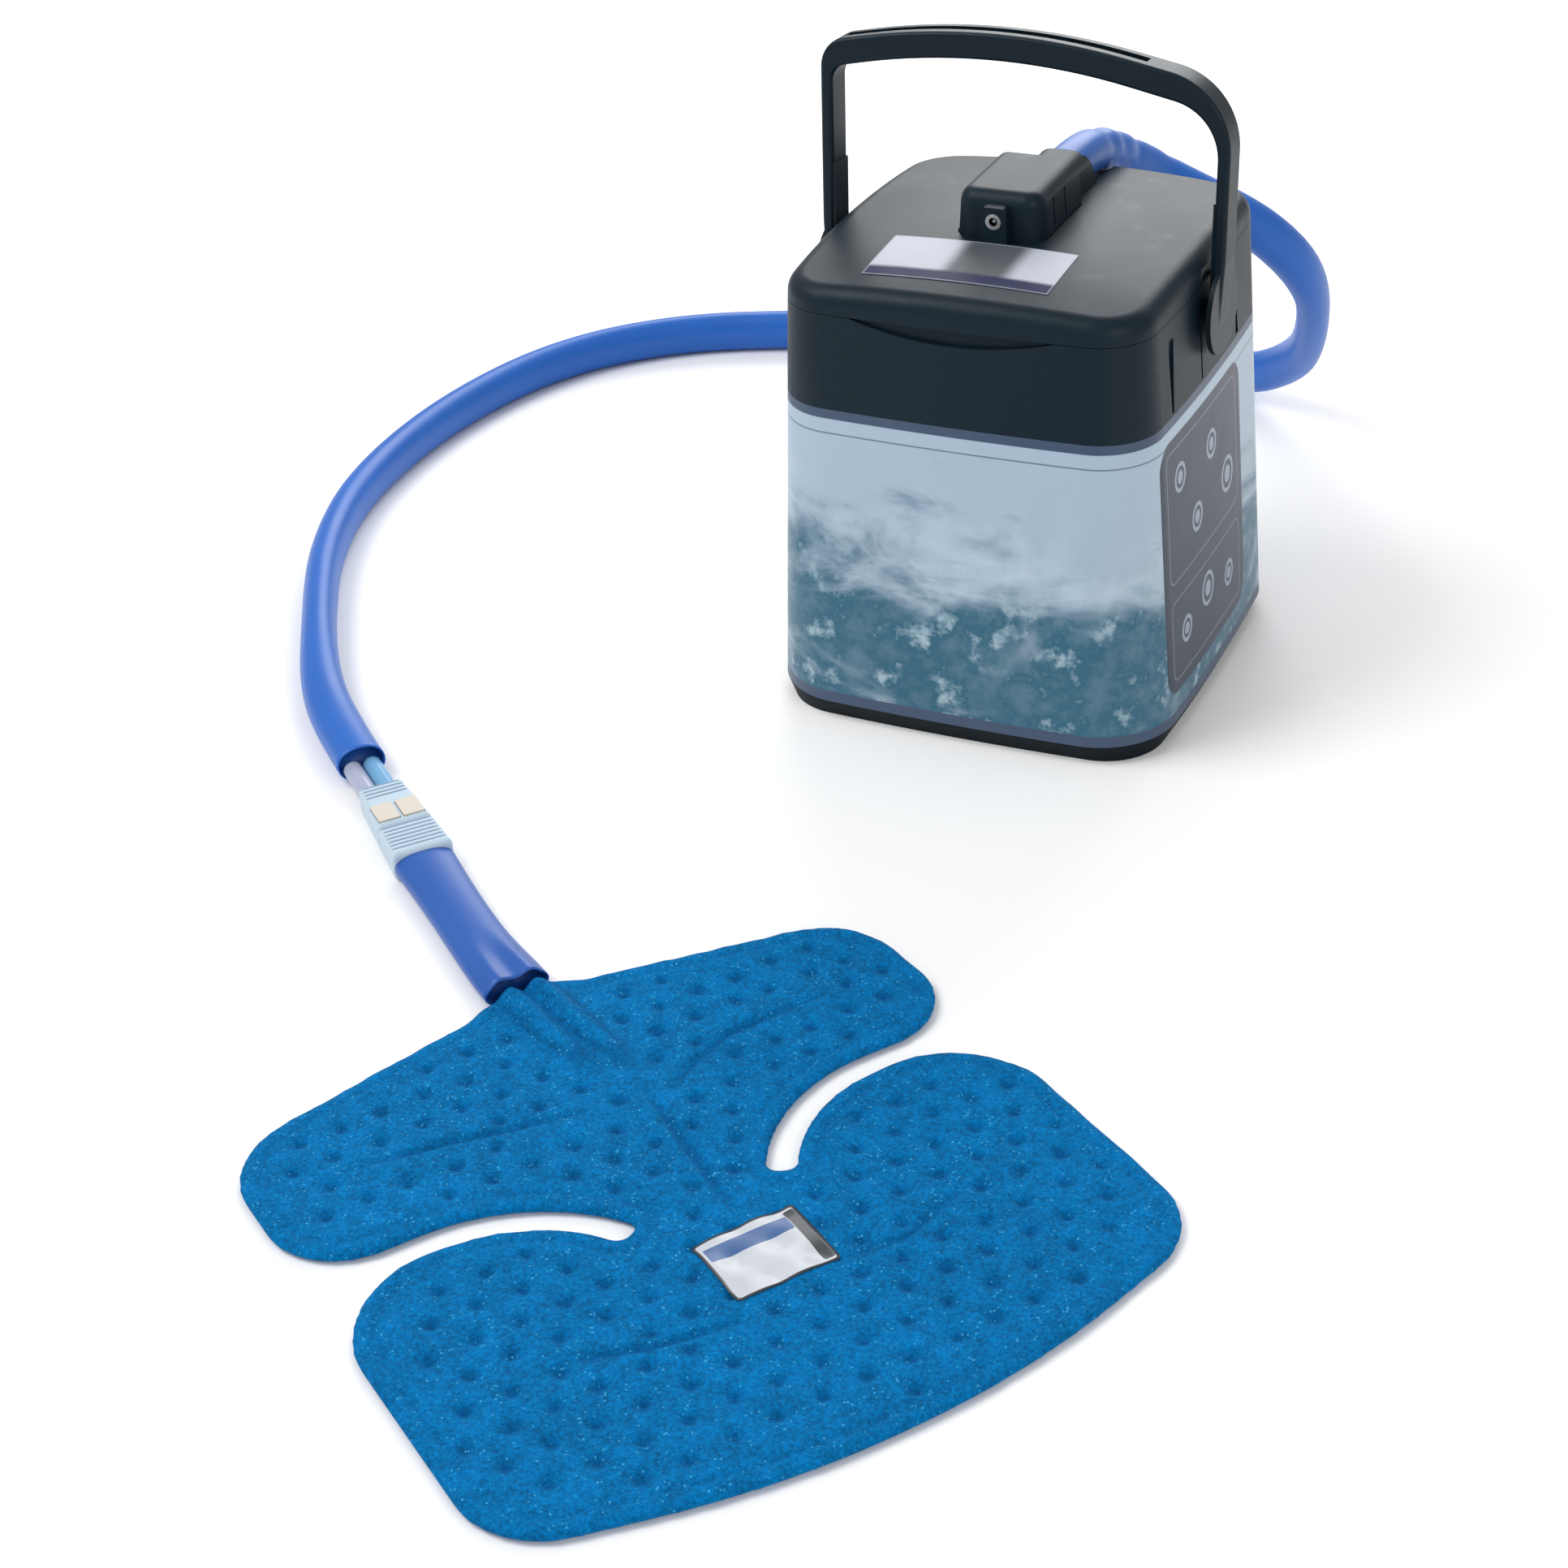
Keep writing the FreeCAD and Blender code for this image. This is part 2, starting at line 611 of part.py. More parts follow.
def make_inner_liner():
    """The liner that holds the ice water, with a flange over the foam."""
    body = new_body("inner_liner")
    for name, inset, bottom in (("outside", LINER_OUT, LINER_BOTTOM),
                                ("inside", LINER_IN, LINER_BOTTOM + S["liner_wall"])):
        if name == "inside":
            flange = [
                bucket_sketch(body, "flange_low", FOAM_TOP, FOAM_OUT),
                bucket_sketch(body, "flange_high", FLANGE_TOP, FOAM_OUT),
            ]
            loft(body, "flange", flange)
        sections = [
            bucket_sketch(body, name + "_low", bottom, inset, at=S["collar_z"]),
            bucket_sketch(body, name + "_high", FLANGE_TOP, inset),
        ]
        loft(body, name, sections, take_away=name == "inside")


def make_top_collar():
    """The collar under the lid: finger scallop, side grooves and holes for the pins."""
    body = new_body("top_collar")
    for name, inset in (("outside", size(0)), ("inside", S["collar_wall"])):
        sections = [
            bucket_sketch(body, name + "_low", S["collar_z"], inset),
            bucket_sketch(body, name + "_high", S["rim_z"], inset),
        ]
        loft(body, name, sections, take_away=name == "inside")
    half, drop = S["scallop_width"] / 2, S["scallop_drop"]
    radius = (half * half + drop * drop) / (2 * drop)
    front = S["rim_depth"] / 2 - S["scallop_in"]
    scallop = circle_sketch(body, "scallop", radius, 0, S["rim_z"] - drop + radius, "XZ_Plane", front)
    extrude(body, "scallop_cut", scallop, S["rim_depth"], take_away=True, reverse=True)
    for side in (-1, 1):
        for name, y, low, high, low_half, high_half in COLLAR_GROOVES:
            label = "%s_groove_%s" % (name, "left" if side < 0 else "right")
            corners = upright_corners(y, low, high, low_half, high_half, min(low_half, high_half) / 2)
            sketch = corner_sketch(body, label, corners, "YZ_Plane",
                                   side * (S["rim_width"] / 2 - S["groove_deep"]))
            extrude(body, label + "_cut", sketch, S["rim_width"], take_away=True, reverse=side > 0)
    hole = circle_sketch(body, "pin_hole", S["pin_radius"] + S["running"], 0, S["hinge_z"], "YZ_Plane")
    extrude(body, "pin_holes", hole, 2 * S["foot_width"], midplane=True, take_away=True)


def make_pivot_pins():
    """The two pins in the collar's sides, on which the handle swings."""
    inner = bucket_size(S["hinge_z"], "width") / 2 - S["collar_wall"] + S["play"]
    for name, side in (("left", -1), ("right", 1)):
        pin = cylinder("pin_" + name, S["pin_radius"], PIN_FACE - inner,
                       (side * inner, 0, S["hinge_z"]), V(side, 0, 0))
        node(pin, "pivot_pin_" + name)


def grip_slopes():
    """How fast the grip's two straight lines rise to the crown point."""
    outer = ARM_IN + S["arm_thick"]
    left = (S["grip_crown"] - S["grip_left"]) / (outer + S["grip_crown_x"])
    right = (S["grip_crown"] - S["grip_right"]) / (outer - S["grip_crown_x"])
    return left, right


def arch_radius():
    """The radius of the grip's arch, whose ends lie a share of the left half from the crown."""
    left, right = grip_slopes()
    reach = S["arch_share"] * (ARM_IN + S["arm_thick"] + S["grip_crown_x"])
    half_turn = (math.atan(left.value) + math.atan(right.value)) / 2
    return Size(reach.value / math.tan(half_turn),
                "(%s / tan((atan(%s) + atan(%s)) / 2))" % (reach.text, left.text, right.text))


def slot_sketch(body, arch):
    """The slot's side view: a strip along the grip's arch, open above."""
    crown_x, tip = S["grip_crown_x"], S["grip_crown"]
    left_slope, right_slope = grip_slopes()
    left, right = -S["slot_left"], S["slot_right"]
    left_z = tip - left_slope * (crown_x - left)
    right_z = tip - right_slope * (right - crown_x)
    over, deep, end_round = 3, S["slot_deep"], 0.5
    corners = [
        (left, left_z + over, end_round),
        (crown_x, tip + over, arch + over),
        (right, right_z + over, end_round),
        (right, right_z - deep, end_round),
        (crown_x, tip - deep, arch - deep),
        (left, left_z - deep, end_round),
    ]
    return corner_sketch(body, "slot", corners, "XZ_Plane")


def make_handle():
    """The bail: a slotted, arched grip, two arms with thicker feet and fins, and two round hubs."""
    body = new_body("handle_bail")
    move(body, 0, 0, S["hinge_z"], FreeCAD.Rotation(-X_AXIS, S["handle_lean"].value))
    bind(body, "Placement.Rotation.Angle", S["handle_lean"])
    inner, outer = ARM_IN + S["arm_step"], ARM_IN + S["arm_thick"]
    hub_out = ARM_IN + S["hub_thick"]
    fin_z = -S["fin_drop"]
    sharp = 0.4
    crown_x, thick, arch = S["grip_crown_x"], S["grip_thick"], arch_radius()
    corners = [
        (-outer, S["grip_left"], S["bend_left"]),
        (crown_x, S["grip_crown"], arch),
        (outer, S["grip_right"], S["bend_right"]),
        (outer, S["hub_radius"] + 2, 20),
        (hub_out, fin_z, sharp),
        (inner, fin_z, sharp),
        (inner, S["grip_right"] - thick, S["bend_right"] - S["arm_thick"] - 4),
        (crown_x, S["grip_crown"] - thick, arch - thick),
        (-inner, S["grip_left"] - thick, S["bend_left"] - S["arm_thick"]),
        (-inner, fin_z, sharp),
        (-hub_out, fin_z, sharp),
        (-outer, S["hub_radius"] + 2, 20),
    ]
    sketch = corner_sketch(body, "bail", corners, "XZ_Plane")
    bail = extrude(body, "bail_pad", sketch, S["arm_wide"], midplane=True)
    half_wide = S["arm_wide"].value / 2

    def along_the_arch(middle, _):
        return abs(abs(middle.y) - half_wide) < 0.01 and middle.z > S["hub_radius"].value + 8

    round_edges(body, "soft_edges", bail, S["edge_round"], along_the_arch)
    foot_half = S["arm_wide"] / 2 - 1
    for name, side in (("left", -1), ("right", 1)):
        disc = circle_sketch(body, "disc_" + name, S["hub_radius"], 0, 0, "YZ_Plane",
                             side * (hub_out - S["hub_disc"]))
        extrude(body, "disc_pad_" + name, disc, S["hub_disc"], reverse=side < 0)
        boss = circle_sketch(body, "boss_" + name, S["hub_boss"], 0, 0, "YZ_Plane", side * ARM_IN)
        extrude(body, "boss_pad_" + name, boss, S["hub_thick"] - S["hub_disc"] / 2, reverse=side < 0)
        foot = upright_corners(0, 0, S["arm_foot"], foot_half, foot_half, sharp)
        foot_sketch = corner_sketch(body, "foot_" + name, foot, "YZ_Plane", side * ARM_IN)
        extrude(body, "foot_pad_" + name, foot_sketch, 2 * S["arm_step"], reverse=side < 0)
        bore = circle_sketch(body, "bore_" + name, S["pin_radius"] + S["running"], 0, 0, "YZ_Plane",
                             side * ARM_IN)
        extrude(body, "bore_cut_" + name, bore, S["pin_end"] + S["play"], take_away=True,
                reverse=side > 0)
    extrude(body, "slot_cut", slot_sketch(body, arch), S["slot_wide"], midplane=True, take_away=True)


# ---- the lid ----

def make_lid_shell():
    """The lid: domed, rounded, hollow below, notched beside the hubs, with a hose trough."""
    body = new_body("lid_shell")
    high = S["dome_top"] + 1
    top = bucket_sketch(body, "top", high, S["lid_draft"], at=S["rim_z"])
    loft(body, "block", [bucket_sketch(body, "skirt", LID_Z, at=S["rim_z"]), top])
    reach = S["foot_width"]
    sphere = S["dome_radius"]
    dome_z = S["dome_top"] - sphere
    crown = Size(math.sqrt(sphere.value ** 2 - reach.value ** 2),
                 "sqrt(%s * %s - %s * %s)" % (sphere.text, sphere.text, reach.text, reach.text))
    rim_z = dome_z + crown
    above = S["dome_top"] + 5
    sketch = new_sketch(body, "dome", "XZ_Plane")
    start = math.asin(crown.value / sphere.value)
    arc = Part.ArcOfCircle(Part.Circle(V(0, dome_z.value, 0), Z_AXIS, sphere.value), start, math.pi / 2)
    points = [V(0, S["dome_top"].value, 0), V(0, above.value, 0), V(reach.value, above.value, 0),
              V(reach.value, rim_z.value, 0)]
    sketch.addGeometry(arc, False)
    for first, second in zip(points, points[1:]):
        sketch.addGeometry(Part.LineSegment(first, second), False)
    joins = ((0, 2, 1, 1), (1, 2, 2, 1), (2, 2, 3, 1), (3, 2, 0, 1))
    for join in joins:
        sketch.addConstraint(Sketcher.Constraint("Coincident", *join))
    sketch.addConstraint(Sketcher.Constraint("PointOnObject", 0, 3, -2))
    sketch.addConstraint(Sketcher.Constraint("Vertical", 1))
    sketch.addConstraint(Sketcher.Constraint("Horizontal", 2))
    sketch.addConstraint(Sketcher.Constraint("Vertical", 3))
    sketch.addConstraint(Sketcher.Constraint("PointOnObject", 1, 1, -2))
    constrain(sketch, sphere, "Radius", 0)
    constrain(sketch, S["dome_top"], "DistanceY", -1, 1, 1, 1)
    constrain(sketch, above, "DistanceY", -1, 1, 1, 2)
    constrain(sketch, reach, "DistanceX", -1, 1, 2, 2)
    dome = body.newObject("PartDesign::Groove", "dome_cut")
    dome.Profile = sketch
    dome.ReferenceAxis = (sketch, ["V_Axis"])
    dome.Angle = 360
    skirt_top = LID_Z.value + 4
    side = S["rim_width"].value

    def upper_edge(middle, edge):
        return middle.z > skirt_top + 3 and edge.BoundBox.ZMin > skirt_top and edge.Length < side

    round_edges(body, "upper_round", dome, S["lid_round"], upper_edge)
    for name, side in (("left", -1), ("right", 1)):
        centre = side * (S["rim_width"] / 2 + S["notch_radius"] - S["notch_deep"])
        notch = circle_sketch(body, "notch_" + name, S["notch_radius"], centre, 0, "XY_Plane", LID_Z)
        extrude(body, "notch_cut_" + name, notch, S["notch_high"], take_away=True, reverse=True)
    wall = S["lid_wall"]
    # the hollow follows the side, the rounding and the dome: name, height, inset, corner
    levels = (("skirt", LID_Z, wall, None), ("side", LID_Z + 4, wall + 0.4, None),
              ("round", LID_Z + 8.3, wall + 6, None), ("top", S["cover_base"], wall + 32, 8))
    hollow = [bucket_sketch(body, "hollow_" + name, z, inset, corner, S["rim_z"])
              for name, z, inset, corner in levels]
    loft(body, "hollow", hollow, take_away=True)
    gap = S["running"] * 3
    cover, spout = S["cover_half"] + gap, S["spout_half"] + gap
    front, middle, back = -S["cover_front"] - gap, S["cover_back"] + gap, S["spout_tail"] + gap
    corner, inner_corner = S["cover_corner"], 0.4
    left, right = COVER_X - cover, COVER_X + cover
    spout_left, spout_right = HOSE_START[0] - spout, HOSE_START[0] + spout
    window = [(left, front, corner), (right, front, corner), (right, middle, inner_corner),
              (spout_right, middle, inner_corner), (spout_right, back, inner_corner),
              (spout_left, back, inner_corner), (spout_left, middle, inner_corner),
              (left, middle, inner_corner)]
    window_sketch = corner_sketch(body, "window", window, offset=S["cover_base"] - 1)
    extrude(body, "window_cut", window_sketch, S["lid_round"], take_away=True, reverse=True)
    ends = (("start", S["spout_tail"] - 2, S["trough_floor"]),
            ("mouth", S["rim_depth"] / 2 + 3, S["trough_mouth"]))
    trough = [circle_sketch(body, "trough_" + name, S["trough_radius"], HOSE_START[0],
                            floor + S["trough_radius"], "XZ_Plane", -y) for name, y, floor in ends]
    loft(body, "trough", trough, take_away=True)


def make_lid_tray():
    """The tray under the lid, which plugs the liner, with a flange over the seal."""
    body = new_body("lid_liner")
    flange_z = TRAY_TOP - S["tray_wall"]
    top = flange_z + S["running"]
    plug = [
        bucket_sketch(body, "plug_low", TRAY_Z, TRAY_OUT, at=S["rim_z"]),
        bucket_sketch(body, "plug_high", top, TRAY_OUT, at=S["rim_z"]),
    ]
    loft(body, "plug", plug)
    flange = [
        bucket_sketch(body, "flange_low", flange_z, FOAM_OUT, at=S["rim_z"]),
        bucket_sketch(body, "flange_high", TRAY_TOP, FOAM_OUT, at=S["rim_z"]),
    ]
    loft(body, "flange", flange)
    inset = TRAY_OUT + S["tray_wall"]
    inside = [
        bucket_sketch(body, "inside_low", TRAY_Z + S["tray_wall"], inset, at=S["rim_z"]),
        bucket_sketch(body, "inside_high", TRAY_TOP, inset, at=S["rim_z"]),
    ]
    loft(body, "inside", inside, take_away=True)
    hole = circle_sketch(body, "column_hole", S["column_radius"] + S["running"], offset=TRAY_Z)
    extrude(body, "column_hole_cut", hole, S["tray_wall"], take_away=True, reverse=True)
    for name, x in RISERS:
        riser = circle_sketch(body, name + "_hole", S["riser_radius"] + S["running"], x, RISER_Y,
                              offset=TRAY_Z)
        extrude(body, name + "_hole_cut", riser, S["tray_wall"], take_away=True, reverse=True)


def make_lid_foam():
    """The foam in the lid, with a well for the pump's column and the plate."""
    body = new_body("lid_foam")
    inset = TRAY_OUT + S["tray_wall"] + S["play"]
    bottom = TRAY_Z + S["tray_wall"]
    plug = [
        bucket_sketch(body, "plug_low", bottom, inset, at=S["rim_z"]),
        bucket_sketch(body, "plug_high", TRAY_TOP, inset, at=S["rim_z"]),
    ]
    loft(body, "plug", plug)
    over = S["lid_wall"] + 7.5
    top = PLATE_Z - SCREW_HEAD - S["play"]
    slab = [
        bucket_sketch(body, "slab_low", TRAY_TOP, over, at=S["rim_z"]),
        bucket_sketch(body, "slab_high", TRAY_TOP + 4.4, over, at=S["rim_z"]),
        bucket_sketch(body, "slab_top", top, over + 22, corner=8, at=S["rim_z"]),
    ]
    loft(body, "slab", slab)
    well = cover_corners(S["column_radius"] + 4, -S["column_radius"] - 4, S["spout_tail"] - 4, 4)
    extrude(body, "well", corner_sketch(body, "well_sketch", well, offset=bottom), S["rim_z"],
            take_away=True, reverse=True)


def make_lid_gasket():
    """The soft seal between the tray's flange and the liner's flange."""
    body = new_body("lid_gasket")
    top = SEAL_Z + S["seal_thick"]
    for name, inset in (("outside", FOAM_OUT + 2), ("inside", TRAY_OUT - 4)):
        sections = [
            bucket_sketch(body, name + "_low", SEAL_Z, inset, at=S["rim_z"]),
            bucket_sketch(body, name + "_high", top, inset, at=S["rim_z"]),
        ]
        loft(body, name, sections, take_away=name == "inside")


def make_pump_cover():
    """The block on the lid: leaning sides, rounded top, flat back, side grooves, hollow below."""
    body = new_body("pump_cover")
    lean, corner = S["cover_lean"], S["cover_corner"]
    front, back = -S["cover_front"], S["cover_back"]
    spare = corner + lean + 1
    outline = cover_corners(S["cover_half"], front, back + spare, corner, COVER_X)
    low = corner_sketch(body, "base", outline, offset=S["cover_base"])
    high = S["cover_top"] - S["cover_base"]
    block = extrude(body, "block", low, high)
    taper = Size(-math.degrees(math.atan(lean.value / high.value)),
                 "(-1 * atan(%s / %s))" % (lean.text, high.text))
    block.TaperAngle = taper.value
    bind(block, "TaperAngle", taper)
    top_z = S["cover_top"].value

    def upper_edge(middle, _):
        return abs(middle.z - top_z) < 0.01

    round_edges(body, "upper_round", block, S["cover_round"], upper_edge)
    end = cover_corners(2 * S["cover_half"], back, back + 2 * spare, 1, COVER_X)
    end_sketch = corner_sketch(body, "end", end, offset=S["cover_base"])
    extrude(body, "end_cut", end_sketch, 2 * high, take_away=True, reverse=True)
    boss_left, boss_right, shoulder = COVER_X - S["boss_half"], COVER_X + S["boss_half"], 3
    boss = [(boss_left, BOSS_Z, 0.4), (boss_right, BOSS_Z, 0.4), (boss_right, S["boss_top"], shoulder),
            (boss_left, S["boss_top"], shoulder)]
    boss_sketch = corner_sketch(body, "boss", boss, "XZ_Plane", S["boss_front"])
    extrude(body, "boss_pad", boss_sketch, S["boss_front"] - S["cover_front"] + 6, reverse=True)
    wall, room_corner = S["cover_wall"], 5
    hollow = []
    for name, inset, z in (("low", wall, S["cover_base"]),
                           ("high", lean + wall + 1.5, S["cover_top"] - wall - 1)):
        room = cover_corners(S["cover_half"] - inset, front + inset + 4, back - wall, room_corner, COVER_X)
        hollow.append(corner_sketch(body, "hollow_" + name, room, offset=z))
    loft(body, "hollow", hollow, take_away=True)
    bore = circle_sketch(body, "jack_hole", S["jack_radius"] + S["running"], COVER_X, S["jack_z"],
                         "XZ_Plane", S["boss_front"])
    extrude(body, "jack_hole_cut", bore, S["boss_front"] - 20, take_away=True)
    groove_half, groove_low, groove_top = 0.7, S["cover_base"] + 8, S["cover_top"] - 6
    for index, y in enumerate(GROOVES_Y):
        corners = upright_corners(y, groove_low, groove_top, groove_half, groove_half, 0.4)
        for name, side in (("left", -1), ("right", 1)):
            groove = corner_sketch(body, "groove_%s_%d" % (name, index), corners, "YZ_Plane",
                                   COVER_X + side * (S["cover_half"] - lean - 0.1))
            extrude(body, "groove_cut_%s_%d" % (name, index), groove, S["cover_half"],
                    take_away=True, reverse=side > 0)


def make_hose_spout():
    """The block behind the pump cover, from which the hose leaves, with two sloping cheeks."""
    half, top, low = S["spout_half"], S["spout_top"], S["spout_low"]
    front = S["cover_back"] + S["running"]
    flat, tail = S["spout_flat"], S["spout_tail"]
    body = new_body("hose_spout")
    middle, shoulder = HOSE_START[0], 8
    spout_left, spout_right = middle - half, middle + half
    corners = [(spout_left, S["cover_base"], 0.3), (spout_right, S["cover_base"], 0.3),
               (spout_right, top, shoulder), (spout_left, top, shoulder)]
    front_view = corner_sketch(body, "front_view", corners, "XZ_Plane", -front)
    extrude(body, "block", front_view, tail - front, reverse=True)
    fall = (top - low) / (tail - flat)
    over = 2
    slope = [(flat - over / fall, top + over, 0.2), (tail + over, top + over, 0.2),
             (tail + over, low - over * fall, 0.2)]
    slope_sketch = corner_sketch(body, "slope", slope, "YZ_Plane")
    extrude(body, "slope_cut", slope_sketch, 4 * half, midplane=True, take_away=True)
    seat = HOSE_RADIUS + S["play"]
    left, right = middle - seat, middle + seat
    gap = [(left, HOSE_START[2] - seat, 3), (right, HOSE_START[2] - seat, 3),
           (right, top + 20, 3), (left, top + 20, 3)]
    cut_sketch = corner_sketch(body, "gap", gap, "XZ_Plane", -flat)
    extrude(body, "gap_cut", cut_sketch, S["rim_depth"], take_away=True)
    wall = S["cover_wall"]
    room = cover_corners(half - wall, front + wall, flat - wall, 2, middle)
    room_sketch = corner_sketch(body, "room", room, offset=S["cover_base"])
    extrude(body, "room_cut", room_sketch, top - wall - 2 - S["cover_base"], take_away=True, reverse=True)
    exit_sketch = circle_sketch(body, "exit", HOSE_RADIUS - 2, middle, HOSE_START[2], "XZ_Plane",
                                -flat)
    extrude(body, "exit_cut", exit_sketch, 2 * wall, take_away=True, reverse=True)


def make_jack():
    """The power inlet: a ring in the boss, a hollow body behind it, and its pin."""
    front, deep, ring_thick = -S["boss_front"], S["jack_deep"], 0.8
    end_wall, pin_back, pin_radius = 3, 1.5, 0.8
    at = {back: (COVER_X, front + back, S["jack_z"]) for back in (0, ring_thick, pin_back)}
    ring = cylinder("ring_out", S["jack_radius"], ring_thick, at[0], Y_AXIS)
    ring_bore = cylinder("ring_in", S["jack_bore"], ring_thick, at[0], Y_AXIS)
    node(cut("jack_ring_cut", ring, ring_bore), "jack_ring")
    shell = cylinder("jack_out", S["jack_radius"], deep + end_wall, at[ring_thick], Y_AXIS)
    bore = cylinder("jack_in", S["jack_bore"], deep - ring_thick, at[ring_thick], Y_AXIS)
    node(cut("jack_cut", shell, bore), "jack_body")
    node(cylinder("jack_pin_rod", pin_radius, deep - pin_back, at[pin_back], Y_AXIS), "jack_pin")


def make_lid_sticker():
    """The thin blank sticker on the dome, in front of the pump cover."""
    lift = S["running"]
    sphere_z = S["dome_top"] - S["dome_radius"]
    spheres = []
    for name, radius in (("sticker_top", S["dome_radius"] + lift + S["sticker_thick"]),
                         ("sticker_under", S["dome_radius"] + lift)):
        ball = DOC.addObject("Part::Sphere", name)
        bind(ball, "Radius", radius)
        spheres.append(move(ball, 0, 0, sphere_z))
    half = S["sticker_wide"] / 2
    front, back = STICKER_Y - S["sticker_deep"] / 2, STICKER_Y + S["sticker_deep"] / 2
    below, above = 12, 2
    block = box("sticker_area", (STICKER_X - half, STICKER_X + half), (front, back),
                (S["dome_top"] - below, S["dome_top"] + above))
    node(cut("sticker_cut", common("sticker_part", block, spheres[0]), spheres[1]), "lid_sticker")


# ---- the pump that hangs from the lid ----

def make_pump_column():
    """The plate under the cover and the column that holds the motor."""
    radius, wall = S["column_radius"], S["column_wall"]
    edge = 4
    plate = box("plate", (COVER_X - S["cover_half"] - edge, COVER_X + S["cover_half"] + edge),
                (-S["cover_front"] - edge, S["spout_tail"] + edge), (PLATE_Z, S["cover_base"]))
    tube = cylinder("column", radius, PLATE_Z - S["column_foot"] + S["running"], (0, 0, S["column_foot"]))
    bore = cylinder("column_bore", radius - wall, S["rim_z"], (0, 0, MOTOR_Z))
    shaft = cylinder("shaft_hole", S["shaft_radius"] + S["running"], 2 * wall,
                     (0, 0, S["column_foot"] - wall / 2))
    tools = [bore, shaft]
    for name, x in RISERS:
        tools.append(cylinder(name + "_passage", S["riser_radius"] + S["running"],
                              2 * S["plate_thick"] + 2, (x, RISER_Y, PLATE_Z - S["plate_thick"])))
    for index, (x, y) in enumerate(SCREW_PLACES):
        tools.append(cylinder("plate_hole_%d" % index, SCREW_RADIUS + S["running"],
                              2 * S["plate_thick"] + 2, (x, y, PLATE_Z - S["plate_thick"])))
    node(cut("column_cut", fuse("column_solid", plate, tube), *tools), "pump_column")


def make_lid_screws():
    """The four screws that hold the plate under the lid."""
    screws = []
    for index, (x, y) in enumerate(SCREW_PLACES):
        head = cylinder("screw_head_%d" % index, 2 * SCREW_RADIUS, SCREW_HEAD, (x, y, PLATE_Z - SCREW_HEAD))
        rod = cylinder("screw_rod_%d" % index, SCREW_RADIUS, S["plate_thick"] + 0.1, (x, y, PLATE_Z - 0.1))
        screws += [head, rod]
    node(fuse("screws", *screws), "lid_screws")


def make_motor():
    """The motor at the foot of the column, and the shaft that turns."""
    bore = S["shaft_radius"] + S["running"]
    motor = cylinder("motor_can", S["motor_radius"], S["motor_long"], (0, 0, MOTOR_Z))
    hole = cylinder("motor_bore", bore, 14, (0, 0, MOTOR_Z - 1))
    cap = cylinder("motor_cap", S["motor_radius"] - 4, 3, (0, 0, MOTOR_Z + S["motor_long"]))
    node(cut("motor_cut", fuse("motor_solid", motor, cap), hole), "pump_motor")
    bottom = WHEEL_Z + 1
    node(cylinder("shaft", S["shaft_radius"], MOTOR_Z + 12 - bottom, (0, 0, bottom)), "motor_shaft")


def make_impeller():
    """The impeller: a disc with curved-back blades in a polar pattern around its hub."""
    body = new_body("impeller")
    disc_high = S["wheel_high"] / 4
    fit = S["shaft_radius"] + S["running"] / 5
    disc = circle_sketch(body, "disc", S["wheel_radius"], offset=WHEEL_Z)
    extrude(body, "disc_pad", disc, disc_high)
    hub = circle_sketch(body, "hub", S["shaft_radius"] + 2, offset=WHEEL_Z)
    extrude(body, "hub_pad", hub, S["wheel_high"])
    inner, outer = S["shaft_radius"] + 1.5, S["wheel_radius"] - 0.5
    corners = [(inner, -0.7, 0.2), (outer, -3, 0.2), (outer - 0.4, -1.4, 0.2), (inner, 0.7, 0.2)]
    blade = corner_sketch(body, "blade", corners, offset=WHEEL_Z)
    blade_pad = extrude(body, "blade_pad", blade, S["wheel_high"])
    DOC.recompute()
    ring = body.newObject("PartDesign::PolarPattern", "blades")
    ring.Originals = [blade_pad]
    ring.Axis = (blade, ["N_Axis"])
    ring.Angle = 360
    ring.Occurrences = 6
    body.Tip = ring
    bore = circle_sketch(body, "bore", fit, offset=WHEEL_Z)
    extrude(body, "bore_cut", bore, S["wheel_high"], take_away=True, reverse=True)


def make_housing():
    """The pump's housing around the impeller, with an inlet below and an outlet ear."""
    radius, high = S["housing_radius"], S["housing_high"]
    ear_x = RISERS[0][1]
    outside = cylinder("housing_out", radius, high, (0, 0, HOUSING_Z))
    ear = cylinder("housing_ear", S["riser_radius"] + 3, high, (ear_x, RISER_Y, HOUSING_Z))
    chamber = cylinder("chamber", S["wheel_radius"] + 1.5, S["wheel_high"] + 2, (0, 0, WHEEL_Z - 1))
    inlet = cylinder("inlet", 6, high, (0, 0, HOUSING_Z - 1))
    shaft = cylinder("housing_shaft_hole", S["shaft_radius"] + S["running"], high, (0, 0, HOUSING_Z + 1))
    outlet_z = WHEEL_Z + S["wheel_high"] / 2
    outlet = cylinder("outlet", S["riser_radius"] - RISER_WALL, high, (ear_x, RISER_Y, outlet_z))
    reach = math.hypot(ear_x, RISER_Y)
    to_ear = V(ear_x, RISER_Y, 0)
    arm = cylinder("channel_arm", 5, reach, (0, 0, outlet_z), to_ear)
    channel = cylinder("channel", 2.4, reach, (0, 0, outlet_z), to_ear)
    solid = fuse("housing_solid", outside, ear, arm)
    node(cut("housing_cut", solid, chamber, inlet, shaft, outlet, channel), "pump_housing")


